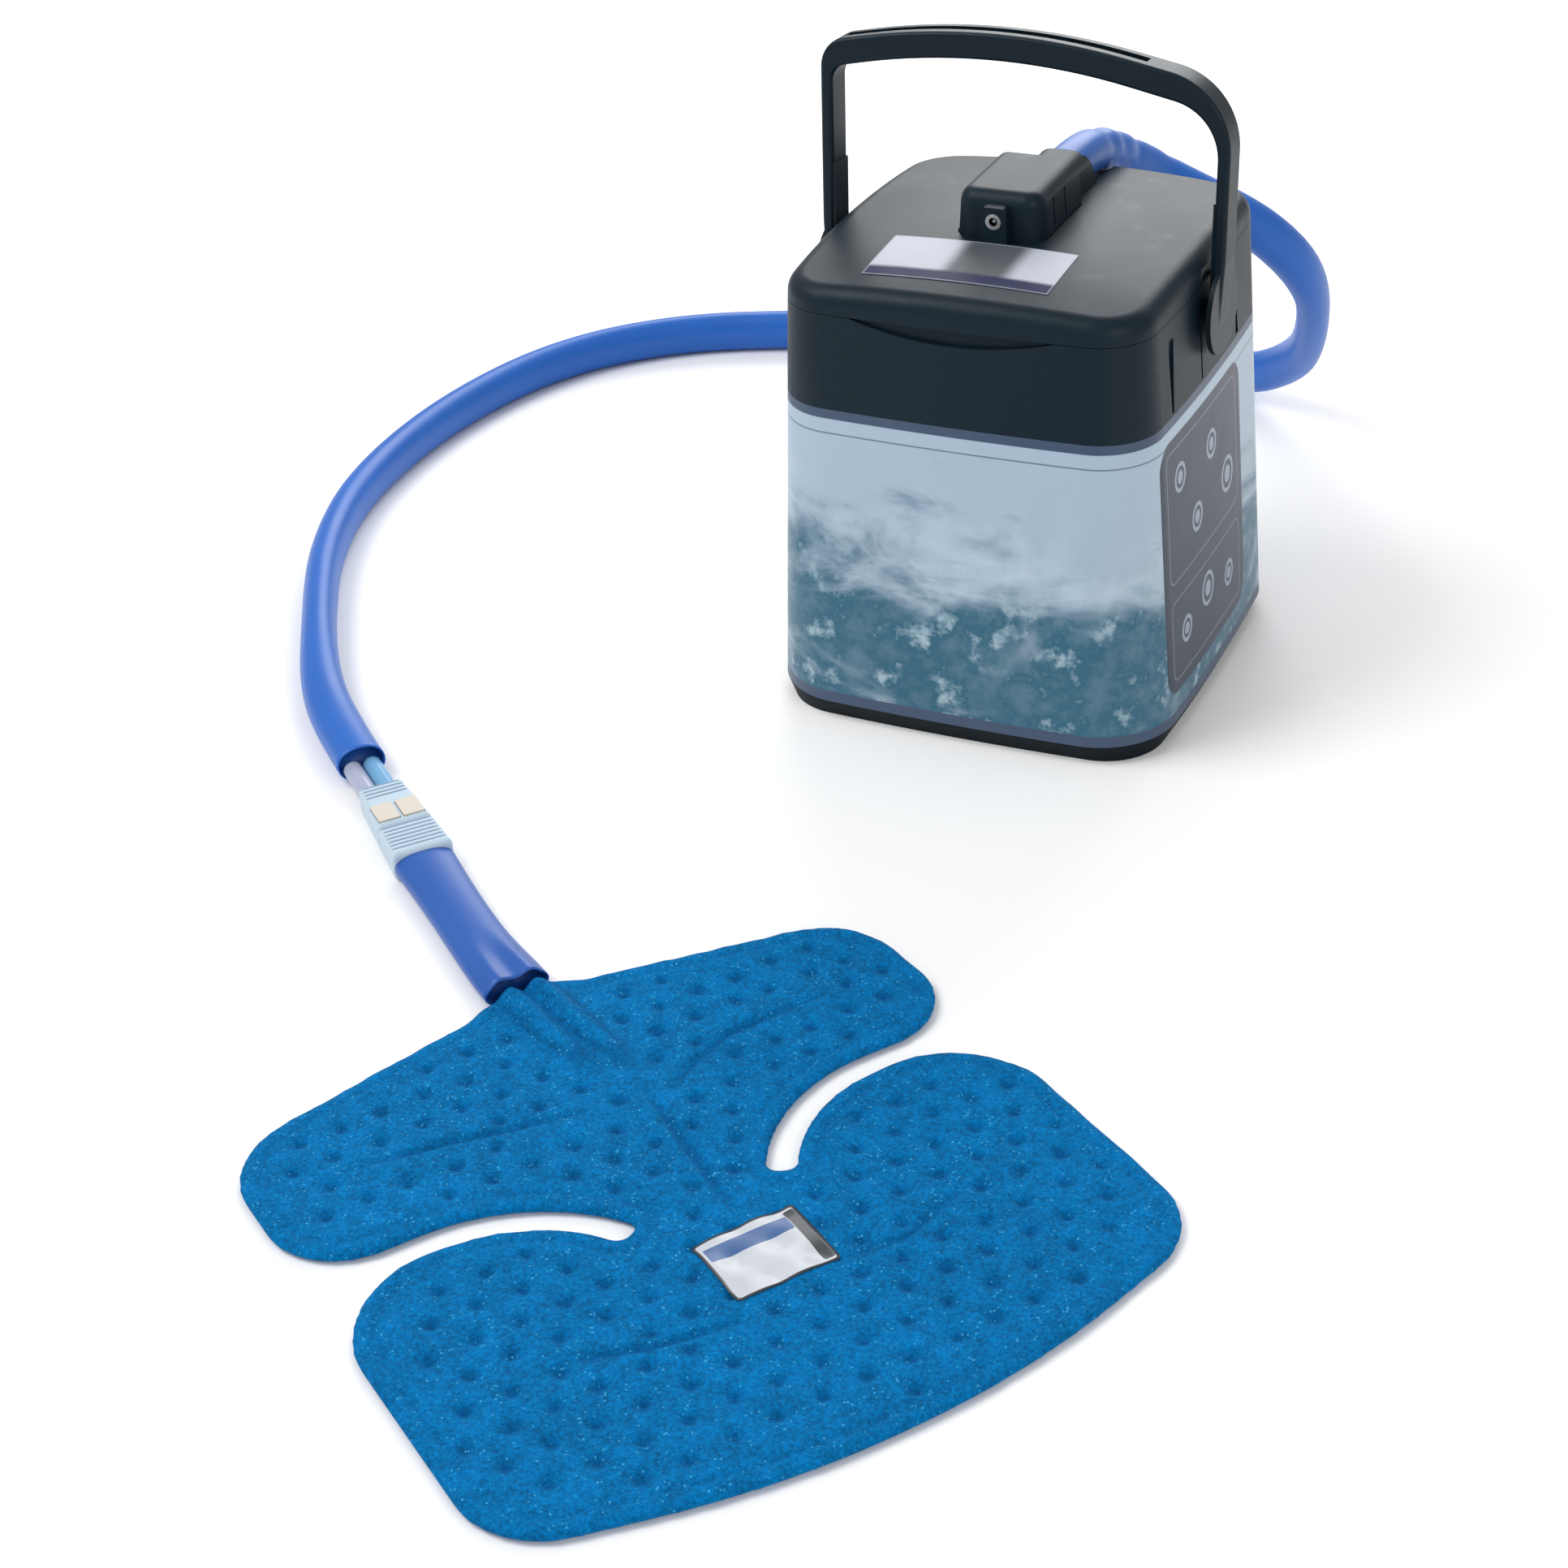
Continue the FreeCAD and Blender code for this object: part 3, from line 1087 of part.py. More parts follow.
def make_strainer():
    """The slotted cup under the pump's housing."""
    radius, high, wall = S["housing_radius"] - 2, S["strainer_high"], 1.6
    cup = cylinder("strainer_out", radius, high, (0, 0, STRAINER_Z))
    hollow = cylinder("strainer_in", radius - wall, high, (0, 0, STRAINER_Z + wall))
    slots = []
    count = 8
    for index in range(count):
        angle = 180 * index / count
        slot = DOC.addObject("Part::Box", "strainer_slot_%d" % index)
        bind(slot, "Length", 2 * radius + 4)
        bind(slot, "Width", 2)
        bind(slot, "Height", high - 8)
        turn = FreeCAD.Rotation(Z_AXIS, angle)
        corner = turn.multVec(V(1, 0, 0)), turn.multVec(V(0, 1, 0))
        move(slot, -(radius + 2) * corner[0].x - corner[1].x, -(radius + 2) * corner[0].y - corner[1].y,
             STRAINER_Z + 4, turn)
        slots.append(slot)
    node(cut("strainer_cut", cup, hollow, *slots), "intake_strainer")


def make_risers():
    """The two tubes between the spout and the pump or the bucket."""
    top = S["cover_base"] + 5
    foot = {"supply": S["column_foot"], "return": TRAY_Z - 12}
    for name, x in RISERS:
        at = (x, RISER_Y, foot[name])
        radius = S["riser_radius"]
        outside = cylinder(name + "_riser_out", radius, top - foot[name], at)
        inside = cylinder(name + "_riser_in", radius - RISER_WALL, top - foot[name], at)
        node(cut(name + "_riser_cut", outside, inside), "inner_%s_tube" % name)


def make_control_board():
    """The board on the motor's leads, held in the cover behind the jack."""
    half = S["cover_half"] - S["cover_wall"] - S["cover_lean"] - 1
    board_half, board_thick = 14, 1.6
    chip_x, chip_y, chip_high = 6, 5, 2.4
    bottom, top = S["cover_base"], S["cover_base"] + board_thick
    board = box("board", (COVER_X - half, COVER_X + half), (-board_half, board_half), (bottom, top))
    chip = box("chip", (COVER_X - chip_x, COVER_X + chip_x), (-chip_y, chip_y), (top, top + chip_high))
    node(fuse("board_solid", board, chip), "control_board")


# ---- the hose ----

def cord_path(name, points):
    """Straight runs joined by tangent arcs as large as the runs allow."""
    points = [V(*point) for point in points]
    edges, radii = [], []
    start = points[0]
    for before, tip, after in zip(points, points[1:], points[2:]):
        back, ahead = before - tip, after - tip
        shorter = min(back.Length, ahead.Length)
        half_turn = (math.pi - back.getAngle(ahead)) / 2
        reach = 0.45 * shorter
        radii.append(reach / math.tan(half_turn))
        entry = tip + back.normalize() * reach
        leave = tip + ahead.normalize() * reach
        towards = (back + ahead).normalize()
        middle = tip + towards * (radii[-1] / math.cos(half_turn) - radii[-1])
        edges += [Part.LineSegment(start, entry).toShape(), Part.Arc(entry, middle, leave).toShape()]
        start = leave
    edges.append(Part.LineSegment(start, points[-1]).toShape())
    wire = Part.Wire(edges)
    print(name, "length %.1f" % wire.Length, "radii", ["%.0f" % radius for radius in radii])
    return wire


def sweep(name, wire, section, area):
    """A solid tube along a path, whose volume is checked against its section and length."""
    solid = wire.makePipeShell([section], True, False)
    solid = Part.Solid(solid) if solid.ShapeType == "Shell" else solid
    ratio = solid.Volume / (area * wire.Length)
    print(name, "volume over section times length %.4f" % ratio)
    assert abs(ratio - 1) < 0.02
    return solid


def make_hose():
    """The sleeved hose, parted where the lid lifts away from the floor stretch."""
    wire = cord_path("hose", HOSE_POINTS)
    start, ahead = V(*HOSE_START), V(*HOSE_POINTS[1]) - V(*HOSE_START)
    circle = Part.Wire([Part.makeCircle(HOSE_RADIUS, start, ahead)])
    tube = sweep("hose", wire, circle, math.pi * HOSE_RADIUS ** 2)
    room_half, room_z = 60, 200
    outlet_room = Part.makeBox(2 * room_half, HOSE_SPLIT_Y, room_z, V(-room_half, 0, room_z))
    for name, shape in (("hose_outlet", tube.common(outlet_room)), ("hose_run", tube.cut(outlet_room))):
        obj = DOC.addObject("Part::Feature", name)
        obj.Shape = shape.Solids[0]
        obj.Placement = FreeCAD.Placement()
        node(obj, name)


# ---- the coupling, in its own frame: X towards the pad, the origin at the pad's sleeve ----

def coupling_place():
    """The coupling's place: behind the hose's end by the free tubes and both halves."""
    turn = FreeCAD.Rotation(Z_AXIS, COUPLING_TURN)
    ahead = turn.multVec(X_AXIS)
    reach = S["hose_end_gap"] + S["socket_long"] + S["play"] + S["insert_long"]
    return HOSE_POINTS[-1][0] + reach * ahead.x, HOSE_POINTS[-1][1] + reach * ahead.y, turn


def on_coupling(obj, name):
    """Place an object that is built in the coupling's frame."""
    x, y, turn = coupling_place()
    body_place = FreeCAD.Placement(V(x.value, y.value, 0), turn)
    old = obj.Placement
    if old.Base.Length > 0 or old.Rotation.Angle > 0:
        raise ValueError(name + " has a place of its own")
    obj.Placement = body_place
    bind(obj, "Placement.Base.x", x)
    bind(obj, "Placement.Base.y", y)
    if obj not in NODES:
        node(obj, name)


INSERT_REAR = -S["insert_long"]
SOCKET_FACE = INSERT_REAR - S["play"]
SOCKET_REAR = SOCKET_FACE - S["socket_long"]
SOCKET_Z = S["play"]
SOCKET_TOP = SOCKET_Z + S["socket_high"]
CORE_Z = SOCKET_Z + S["socket_high"] / 2
PROBE_Z = CORE_Z - PROBE_DROP
LATCH_X = SOCKET_REAR + S["latch_back"]
LATCH_Z = SOCKET_TOP + S["latch_proud"] - S["latch_thick"]
LATCH_Y = S["latch_wide"] / 2 + S["play"] + 0.6
SPRING_X = LATCH_X + S["latch_long"] / 2


def make_tubes():
    """The supply and return tubes, bare between the hose's sleeve and the coupling."""
    for name, side in (("tube_supply", -1), ("tube_return", 1)):
        body = new_body(name)
        start = circle_sketch(body, name + "_section", S["tube_radius"], side * HALF_PITCH, CORE_Z,
                              "YZ_Plane", SOCKET_REAR - S["hose_end_gap"])
        extrude(body, name + "_pad", start, S["hose_end_gap"])
        on_coupling(body, name)


def ribs(body, name, start, count, half, deep):
    """Grooves across a coupling half's sides and top."""
    width = S["rib_pitch"] / 2
    for index in range(count):
        x = start + S["rib_pitch"] * index
        corners = [(x, -half, 0.3), (x + width, -half, 0.3), (x + width, half, 0.3), (x, half, 0.3)]
        sketch = corner_sketch(body, "%s_%d" % (name, index), corners, offset=SOCKET_TOP - deep)
        extrude(body, "%s_cut_%d" % (name, index), sketch, S["socket_high"], take_away=True,
                reverse=True)


def make_socket():
    """The female half: tapered body, two thumb-plate wells, spring wells and two bores."""
    body = new_body("coupling_body")
    rear, front = S["socket_rear"] / 2, S["socket_front"] / 2
    corners = [(SOCKET_REAR, -rear, 2), (SOCKET_FACE, -front, 1), (SOCKET_FACE, front, 1),
               (SOCKET_REAR, rear, 2)]
    block = extrude(body, "block", corner_sketch(body, "plan", corners, offset=SOCKET_Z),
                    S["socket_high"])
    side_line = rear.value - 3

    def long_edge(middle, edge):
        return edge.Length > 20 and abs(middle.y) > side_line

    round_edges(body, "long_round", block, 3.2, long_edge)
    ribs(body, "rib", SOCKET_REAR + 2, 4, S["socket_front"], S["rib_deep"])
    well = S["latch_thick"] + S["latch_stroke"] + S["play"] - S["latch_proud"]
    for name, side in (("a", -1), ("b", 1)):
        half = S["latch_wide"] / 2 + S["play"]
        y = side * LATCH_Y
        back, ahead = LATCH_X - S["play"], LATCH_X + S["latch_long"] + S["play"]
        corners = [(back, y - half, 0.5), (ahead, y - half, 0.5), (ahead, y + half, 0.5),
                   (back, y + half, 0.5)]
        sketch = corner_sketch(body, "well_" + name, corners, offset=SOCKET_TOP - well)
        extrude(body, "well_cut_" + name, sketch, S["socket_high"], take_away=True, reverse=True)
        hole = circle_sketch(body, "spring_well_" + name, S["spring_radius"] + S["play"], SPRING_X, y,
                             offset=LATCH_Z - S["spring_high"])
        extrude(body, "spring_well_cut_" + name, hole, S["socket_high"], take_away=True, reverse=True)
        bore = circle_sketch(body, "bore_" + name, S["probe_radius"] + S["play"], side * LATCH_Y, PROBE_Z,
                             "YZ_Plane", SOCKET_FACE)
        extrude(body, "bore_cut_" + name, bore, S["probe_long"] + S["play"], take_away=True)
    on_coupling(body, "coupling_body")


def make_latches():
    """The two thumb plates and the springs under them."""
    for name, side in (("a", -1), ("b", 1)):
        plate = new_body("latch_plate_" + name)
        y, half = side * LATCH_Y, S["latch_wide"] / 2
        corners = [(LATCH_X, y - half, 1), (LATCH_X + S["latch_long"], y - half, 1),
                   (LATCH_X + S["latch_long"], y + half, 1), (LATCH_X, y + half, 1)]
        sketch = corner_sketch(plate, "plate_" + name, corners, offset=LATCH_Z)
        extrude(plate, "plate_pad_" + name, sketch, S["latch_thick"])
        on_coupling(plate, "latch_plate_" + name)
        spring = new_body("latch_spring_" + name)
        section = circle_sketch(spring, "spring_" + name, S["spring_radius"], SPRING_X, y,
                                offset=LATCH_Z - S["spring_high"])
        extrude(spring, "spring_pad_" + name, section, S["spring_high"])
        on_coupling(spring, "latch_spring_" + name)


def make_insert():
    """The male half: a ribbed grip with two bores, in which the probes are seated."""
    body = new_body("coupling_insert")
    front, wide = S["socket_front"] / 2, S["insert_wide"] / 2
    corners = [(INSERT_REAR, -front, 1), (0, -wide, 1.5), (0, wide, 1.5), (INSERT_REAR, front, 1)]
    block = extrude(body, "block", corner_sketch(body, "plan", corners, offset=SOCKET_Z),
                    S["socket_high"])
    side_line = front.value - 3

    def long_edge(middle, edge):
        return edge.Length > 15 and abs(middle.y) > side_line

    round_edges(body, "long_round", block, 3.2, long_edge)
    ribs(body, "rib", INSERT_REAR + 2, 7, S["insert_wide"], S["rib_deep"])
    for name, side in (("a", -1), ("b", 1)):
        bore = circle_sketch(body, "stem_bore_" + name, S["stem_radius"] + S["running"], side * LATCH_Y,
                             PROBE_Z, "YZ_Plane", INSERT_REAR)
        extrude(body, "stem_bore_cut_" + name, bore, S["stem_long"] + S["play"], take_away=True,
                reverse=True)
    on_coupling(body, "coupling_insert")


def make_probes():
    """The two probes that enter the female half's bores, each with a stem in the male half."""
    for name, side in (("a", -1), ("b", 1)):
        body = new_body("probe_" + name)
        y = side * LATCH_Y
        probe = circle_sketch(body, "probe_end_" + name, S["probe_radius"], y, PROBE_Z, "YZ_Plane",
                              INSERT_REAR)
        extrude(body, "probe_pad_" + name, probe, S["probe_long"], reverse=True)
        stem = circle_sketch(body, "stem_" + name, S["stem_radius"], y, PROBE_Z, "YZ_Plane", INSERT_REAR)
        extrude(body, "stem_pad_" + name, stem, S["stem_long"])
        for index, back in enumerate(SEAL_PLACES):
            ring = ring_sketch(body, "seat_%s_%d" % (name, index), y, S["probe_radius"] - SEAL_SEAT,
                               S["probe_radius"] + 1, INSERT_REAR - back)
            extrude(body, "seat_cut_%s_%d" % (name, index), ring, 2 * SEAL_SEAT, take_away=True)
        on_coupling(body, "probe_" + name)


def ring_sketch(body, name, y, inner, outer, offset):
    """Two circles about one probe's axis."""
    sketch = circle_sketch(body, name, outer, y, PROBE_Z, "YZ_Plane", offset)
    y, z = size(y), PROBE_Z
    sketch.addGeometry(Part.Circle(V(y.value, z.value, 0), Z_AXIS, size(inner).value), False)
    sketch.addConstraint(Sketcher.Constraint("Coincident", 0, 3, 1, 3))
    constrain(sketch, inner, "Radius", 1)
    return sketch


def make_seals():
    """The four sealing rings on the probes, as one node."""
    thick = (SEAL_SEAT + S["play"] - S["running"]) / 2
    rings = []
    for side in (-1, 1):
        for back in SEAL_PLACES:
            ring = DOC.addObject("Part::Torus", "seal")
            bind(ring, "Radius1", S["probe_radius"] - SEAL_SEAT + thick)
            bind(ring, "Radius2", thick)
            middle = INSERT_REAR - back - SEAL_SEAT
            rings.append(move(ring, middle, side * LATCH_Y, PROBE_Z, FreeCAD.Rotation(Z_AXIS, X_AXIS)))
    on_coupling(fuse("seals", *rings), "coupling_seals")


# ---- the pad ----

def make_sleeve():
    """The pad's flat sleeve from the male half to the pad's neck."""
    high, wide = S["sleeve_high"].value, S["sleeve_wide"].value
    wire = cord_path("sleeve", [(x, y, high / 2) for x, y in SLEEVE_POINTS])
    flat = wide - high
    middle = V(0, 0, high / 2)
    corners = [middle + V(0, side * flat / 2, up * high / 2) for side, up in
               ((-1, -1), (1, -1), (1, 1), (-1, 1))]
    tips = [middle + V(0, side * wide / 2, 0) for side in (1, -1)]
    section = Part.Wire([
        Part.LineSegment(corners[0], corners[1]).toShape(),
        Part.Arc(corners[1], tips[0], corners[2]).toShape(),
        Part.LineSegment(corners[2], corners[3]).toShape(),
        Part.Arc(corners[3], tips[1], corners[0]).toShape(),
    ])
    tube = sweep("sleeve", wire, section, flat * high + math.pi * high ** 2 / 4)
    obj = DOC.addObject("Part::Feature", "pad_sleeve")
    obj.Shape = tube
    on_coupling(obj, "pad_sleeve")


def pad_corners(inset):
    """The pad's outline, less an inset: neck, wing, notch and lower part, mirrored."""
    notch_s = S["wing_end"] + S["notch_wide"]
    notch_end = S["wing_end"] + NOTCH_RUN
    across = S["notch_wide"] * 0.556, S["notch_wide"] * 0.831
    tip_radius = S["notch_wide"] * 0.42
    near_t = S["notch_half"] - S["notch_wide"] * 0.4
    far_t = near_t + across[1]
    bow_t = S["pad_half"] / 3
    # s, t, radius, and how each moves with the inset
    half = [
        (NECK_START, S["neck_half"] - 10, 2, 1, -1, 0),
        (6, S["neck_half"], 8, 1, -0.5, 1),
        (S["wing_start"], S["pad_half"], 42, 1, -1, -1),
        (S["wing_end"], S["pad_half"], 36, -1, -1, -1),
        (S["wing_end"], near_t + 29, 84, -1, -0.53, 1),
        (notch_end, near_t, tip_radius, 0.27, -1.39, 1),
        (notch_end + across[0], far_t, tip_radius, 1.39, 0.27, 1),
        (notch_s, far_t + 25.4, 72, 1, 0.53, -1),
        (notch_s, S["pad_half"], 48, 1, -1, -1),
        (S["pad_shoulder"], S["pad_half"], 40, -0.76, -1, -1),
        (S["pad_end"], bow_t, 370, -1, -0.135, -1),
    ]
    upper = [(s + ds * inset, t + dt * inset, radius + dr * inset) for s, t, radius, ds, dt, dr in half]
    lower = [(s, -size(t), radius) for s, t, radius in reversed(upper)]
    return lower + upper


def on_pad(obj, name):
    """Place an object that is built in the pad's frame: X away from the neck."""
    x, y, turn = coupling_place()
    to_neck = turn.multVec(V(*SLEEVE_POINTS[-1], 0))
    x, y = x + to_neck.x, y + to_neck.y
    obj.Placement = FreeCAD.Placement(V(x.value, y.value, 0),
                                      turn * FreeCAD.Rotation(Z_AXIS, PAD_TURN))
    bind(obj, "Placement.Base.x", x)
    bind(obj, "Placement.Base.y", y)
    if obj not in NODES:
        node(obj, name)


def make_pad():
    """The pad's layers: two cloths around the water bladder."""
    layers = (
        ("pad_cover_bottom", 0, S["cover_cloth"], 0),
        ("pad_bladder", S["cover_cloth"], S["bladder_thick"], S["weld_border"]),
        ("pad_cover_top", S["cover_cloth"] + S["bladder_thick"], S["top_cloth"], 0),
    )
    for name, z, thick, inset in layers:
        body = new_body(name)
        sketch = corner_sketch(body, name + "_outline", pad_corners(size(inset)), offset=z)
        extrude(body, name + "_pad", sketch, thick)
        on_pad(body, name)


def make_pad_label():
    """The blank label on the pad."""
    body = new_body("pad_label")
    s, t = LABEL_AT
    top = S["cover_cloth"] + S["bladder_thick"] + S["top_cloth"]
    corners = [(s, t, 3), (s + S["label_long"], t, 3), (s + S["label_long"], t + S["label_wide"], 3),
               (s, t + S["label_wide"], 3)]
    extrude(body, "label_pad", corner_sketch(body, "label", corners, offset=top), S["label_thick"])
    on_pad(body, "pad_label")


def check_document():
    """Stop if any object failed, or any sub-part has no valid shape."""
    DOC.recompute()
    failed = [obj.Name for obj in DOC.Objects if "Invalid" in obj.State or "Error" in obj.State]
    empty = [obj.Label for obj in NODES if obj.Shape.isNull() or not obj.Shape.isValid()]
    hollow = [obj.Label for obj in NODES if obj.Label not in empty and not obj.Shape.Solids]
    if failed or empty or hollow:
        raise RuntimeError("failed %s, not valid %s, no solid %s" % (failed, empty, hollow))


def main():
    make_base_bumper()
    make_outer_shell()
    make_label_wrap()
    make_foam_insulation()
    make_inner_liner()
    make_top_collar()
    make_pivot_pins()
    make_handle()
    make_lid_shell()
    make_lid_tray()
    make_lid_foam()
    make_lid_gasket()
    make_pump_cover()
    make_hose_spout()
    make_jack()
    make_lid_sticker()
    make_pump_column()
    make_lid_screws()
    make_motor()
    make_impeller()
    make_housing()
    make_strainer()
    make_risers()
    make_control_board()
    make_hose()
    make_tubes()
    make_socket()
    make_latches()
    make_insert()
    make_probes()
    make_seals()
    make_sleeve()
    make_pad()
    make_pad_label()
    check_document()
    os.makedirs("parts", exist_ok=True)
    for obj in NODES:
        obj.Shape.exportStep("parts/%s.step" % obj.Label)
        print("%-20s %10.0f mm3, %d solid(s)" % (obj.Label, obj.Shape.Volume, len(obj.Shape.Solids)))


main()
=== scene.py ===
"""The looks of the hot and cold therapy machine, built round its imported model.

Each piece has its operator, and the panel in the sidebar lists them. Lengths are in metres, in
the model's own frame: the bucket stands on z = 0 at the origin, and its front faces -Y."""

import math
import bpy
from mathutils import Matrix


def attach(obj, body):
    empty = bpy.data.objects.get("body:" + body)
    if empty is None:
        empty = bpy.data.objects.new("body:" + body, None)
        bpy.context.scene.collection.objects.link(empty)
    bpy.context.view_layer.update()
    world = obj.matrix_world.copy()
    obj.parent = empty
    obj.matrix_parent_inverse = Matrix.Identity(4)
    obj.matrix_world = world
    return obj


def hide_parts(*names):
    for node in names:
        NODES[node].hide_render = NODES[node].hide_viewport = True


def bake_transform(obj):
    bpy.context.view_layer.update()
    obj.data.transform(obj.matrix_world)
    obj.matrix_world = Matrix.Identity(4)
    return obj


bl_info = {
    "name": "Therapy machine",
    "version": (1, 0, 0),
    "blender": (4, 5, 0),
    "location": "View3D > Sidebar > Therapy",
    "description": "Builds the bucket, hose, coupling and knee pad of a cold therapy machine",
    "category": "Object",
}

import bmesh
import bpy
from bpy.props import FloatProperty, FloatVectorProperty, PointerProperty
from mathutils import Matrix, Vector, kdtree, noise
from mathutils.geometry import interpolate_bezier

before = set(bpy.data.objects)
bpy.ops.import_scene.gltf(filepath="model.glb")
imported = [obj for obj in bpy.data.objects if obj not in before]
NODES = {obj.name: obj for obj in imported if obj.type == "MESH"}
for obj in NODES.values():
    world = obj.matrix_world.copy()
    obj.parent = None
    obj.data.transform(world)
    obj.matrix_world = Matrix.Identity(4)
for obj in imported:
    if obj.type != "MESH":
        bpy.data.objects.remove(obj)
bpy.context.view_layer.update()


# ---- places in the model's frame ----

HOSE_ROUTE = [
    (0.0035, 0.046, 0.242), (0.0035, 0.070, 0.242), (0.005, 0.100, 0.2365), (0.011, 0.135, 0.217),
    (0.029, 0.159, 0.196), (0.067, 0.183, 0.169), (0.087, 0.216, 0.129), (0.078, 0.257, 0.082),
    (0.059, 0.299, 0.042), (0.016, 0.330, 0.0125), (-0.050, 0.354, 0.0125),
    (-0.160, 0.352, 0.0125), (-0.261, 0.321, 0.0125), (-0.345, 0.288, 0.0125),
    (-0.402, 0.226, 0.0125), (-0.427, 0.130, 0.0125), (-0.425, 0.030, 0.0125),
    (-0.400, -0.050, 0.0125), (-0.359, -0.123, 0.0125), (-0.320, -0.183, 0.0115),
    (-0.2854, -0.21835, 0.0105), (-0.2605, -0.240, 0.0105),
]
COUPLING_TURN = math.radians(-41)
COUPLING_REACH = 0.096
COUPLING = Matrix.Translation((
    HOSE_ROUTE[-1][0] + COUPLING_REACH * math.cos(COUPLING_TURN),
    HOSE_ROUTE[-1][1] + COUPLING_REACH * math.sin(COUPLING_TURN), 0,
)) @ Matrix.Rotation(COUPLING_TURN, 4, "Z")
SLEEVE_ROUTE = [
    (0.0, 0.0, 0.007), (0.046, 0.0, 0.007), (0.088, 0.0006, 0.007), (0.1165, 0.0036, 0.007),
]
PAD_TURN = math.radians(6)
PAD = COUPLING @ Matrix.Translation((*SLEEVE_ROUTE[-1][:2], 0)) @ Matrix.Rotation(PAD_TURN, 4, "Z")


def colour_prop(name, description, default):
    return FloatVectorProperty(name=name, description=description, subtype="COLOR",
                               default=default, min=0, max=1)


def length_prop(name, description, default):
    return FloatProperty(name=name, description=description, default=default, min=0,
                         subtype="DISTANCE", unit="LENGTH")


class BucketSettings(bpy.types.PropertyGroup):
    plastic: colour_prop("Plastic", "Colour of the moulded lid and collar",
                         (0.0040, 0.0115, 0.0190))
    handle: colour_prop("Handle", "Colour of the handle and the foot", (0.0034, 0.0095, 0.0155))
    frost: colour_prop("Frost", "Pale ground of the wrap", (0.41, 0.52, 0.63))
    mist: colour_prop("Mist", "Dark clouds of the wrap", (0.010, 0.100, 0.165))
    band: colour_prop("Band", "Slate bands of the wrap", (0.050, 0.078, 0.135))
    panel: colour_prop("Side panel", "Dark panel on the wrap's right side", (0.024, 0.036, 0.062))


class HoseSettings(bpy.types.PropertyGroup):
    vinyl: colour_prop("Vinyl", "Colour of the hose's sleeve", (0.008, 0.112, 0.47))
    sleeve: colour_prop("Pad sleeve", "Colour of the flat sleeve at the pad", (0.010, 0.088, 0.38))
    width: length_prop("Width", "Wide side of the hose's oval", 0.0245)
    height: length_prop("Height", "Narrow side of the hose's oval", 0.0185)
    supply: colour_prop("Supply tube", "Tint of the clear tube", (0.52, 0.56, 0.72))
    back: colour_prop("Return tube", "Tint of the blue tube", (0.20, 0.45, 0.72))
    coupling: colour_prop("Coupling", "Colour of the coupling's body", (0.47, 0.58, 0.68))
    thumb: colour_prop("Thumb plates", "Colour of the thumb plates", (0.62, 0.57, 0.50))


class PadSettings(bpy.types.PropertyGroup):
    cloth: colour_prop("Cloth", "Colour of the brushed cloth", (0.0, 0.150, 0.40))
    pitch: length_prop("Dimple pitch", "Distance between the pad's dimples", 0.0188)
    dimple: length_prop("Dimple depth", "Depth of the pad's dimples", 0.0022)
    border: length_prop("Border", "Width of the pad's hem", 0.0085)


class StageSettings(bpy.types.PropertyGroup):
    floor: colour_prop("Floor", "Colour of the floor", (0.93, 0.93, 0.93))
    key: FloatProperty(name="Key light", description="Power of the large soft light",
                       default=9.0, min=0, subtype="POWER", unit="POWER")


# ---- materials ----

class Value:
    """A socket of a finish; arithmetic on it adds Math nodes."""

    def __init__(self, finish, socket):
        self.finish, self.socket = finish, socket

    def math(self, operation, *values):
        return self.finish.node("ShaderNodeMath", {"operation": operation}, dict(enumerate(values)))

    def __add__(self, other):
        return self.math("ADD", self, other)

    def __radd__(self, other):
        return self.math("ADD", other, self)

    def __sub__(self, other):
        return self.math("SUBTRACT", self, other)

    def __rsub__(self, other):
        return self.math("SUBTRACT", other, self)

    def __mul__(self, other):
        return self.math("MULTIPLY", self, other)

    def __rmul__(self, other):
        return self.math("MULTIPLY", other, self)

    def __pow__(self, other):
        return self.math("POWER", self, other)

    def above(self, low, high):
        """0 below low, 1 above high, and smooth between."""
        return self.finish.node(
            "ShaderNodeMapRange", {"interpolation_type": "SMOOTHSTEP"},
            {"Value": self, "From Min": low, "From Max": high})

    def at_least(self, other):
        return self.math("MAXIMUM", self, other)

    def size(self):
        return self.math("ABSOLUTE", self)


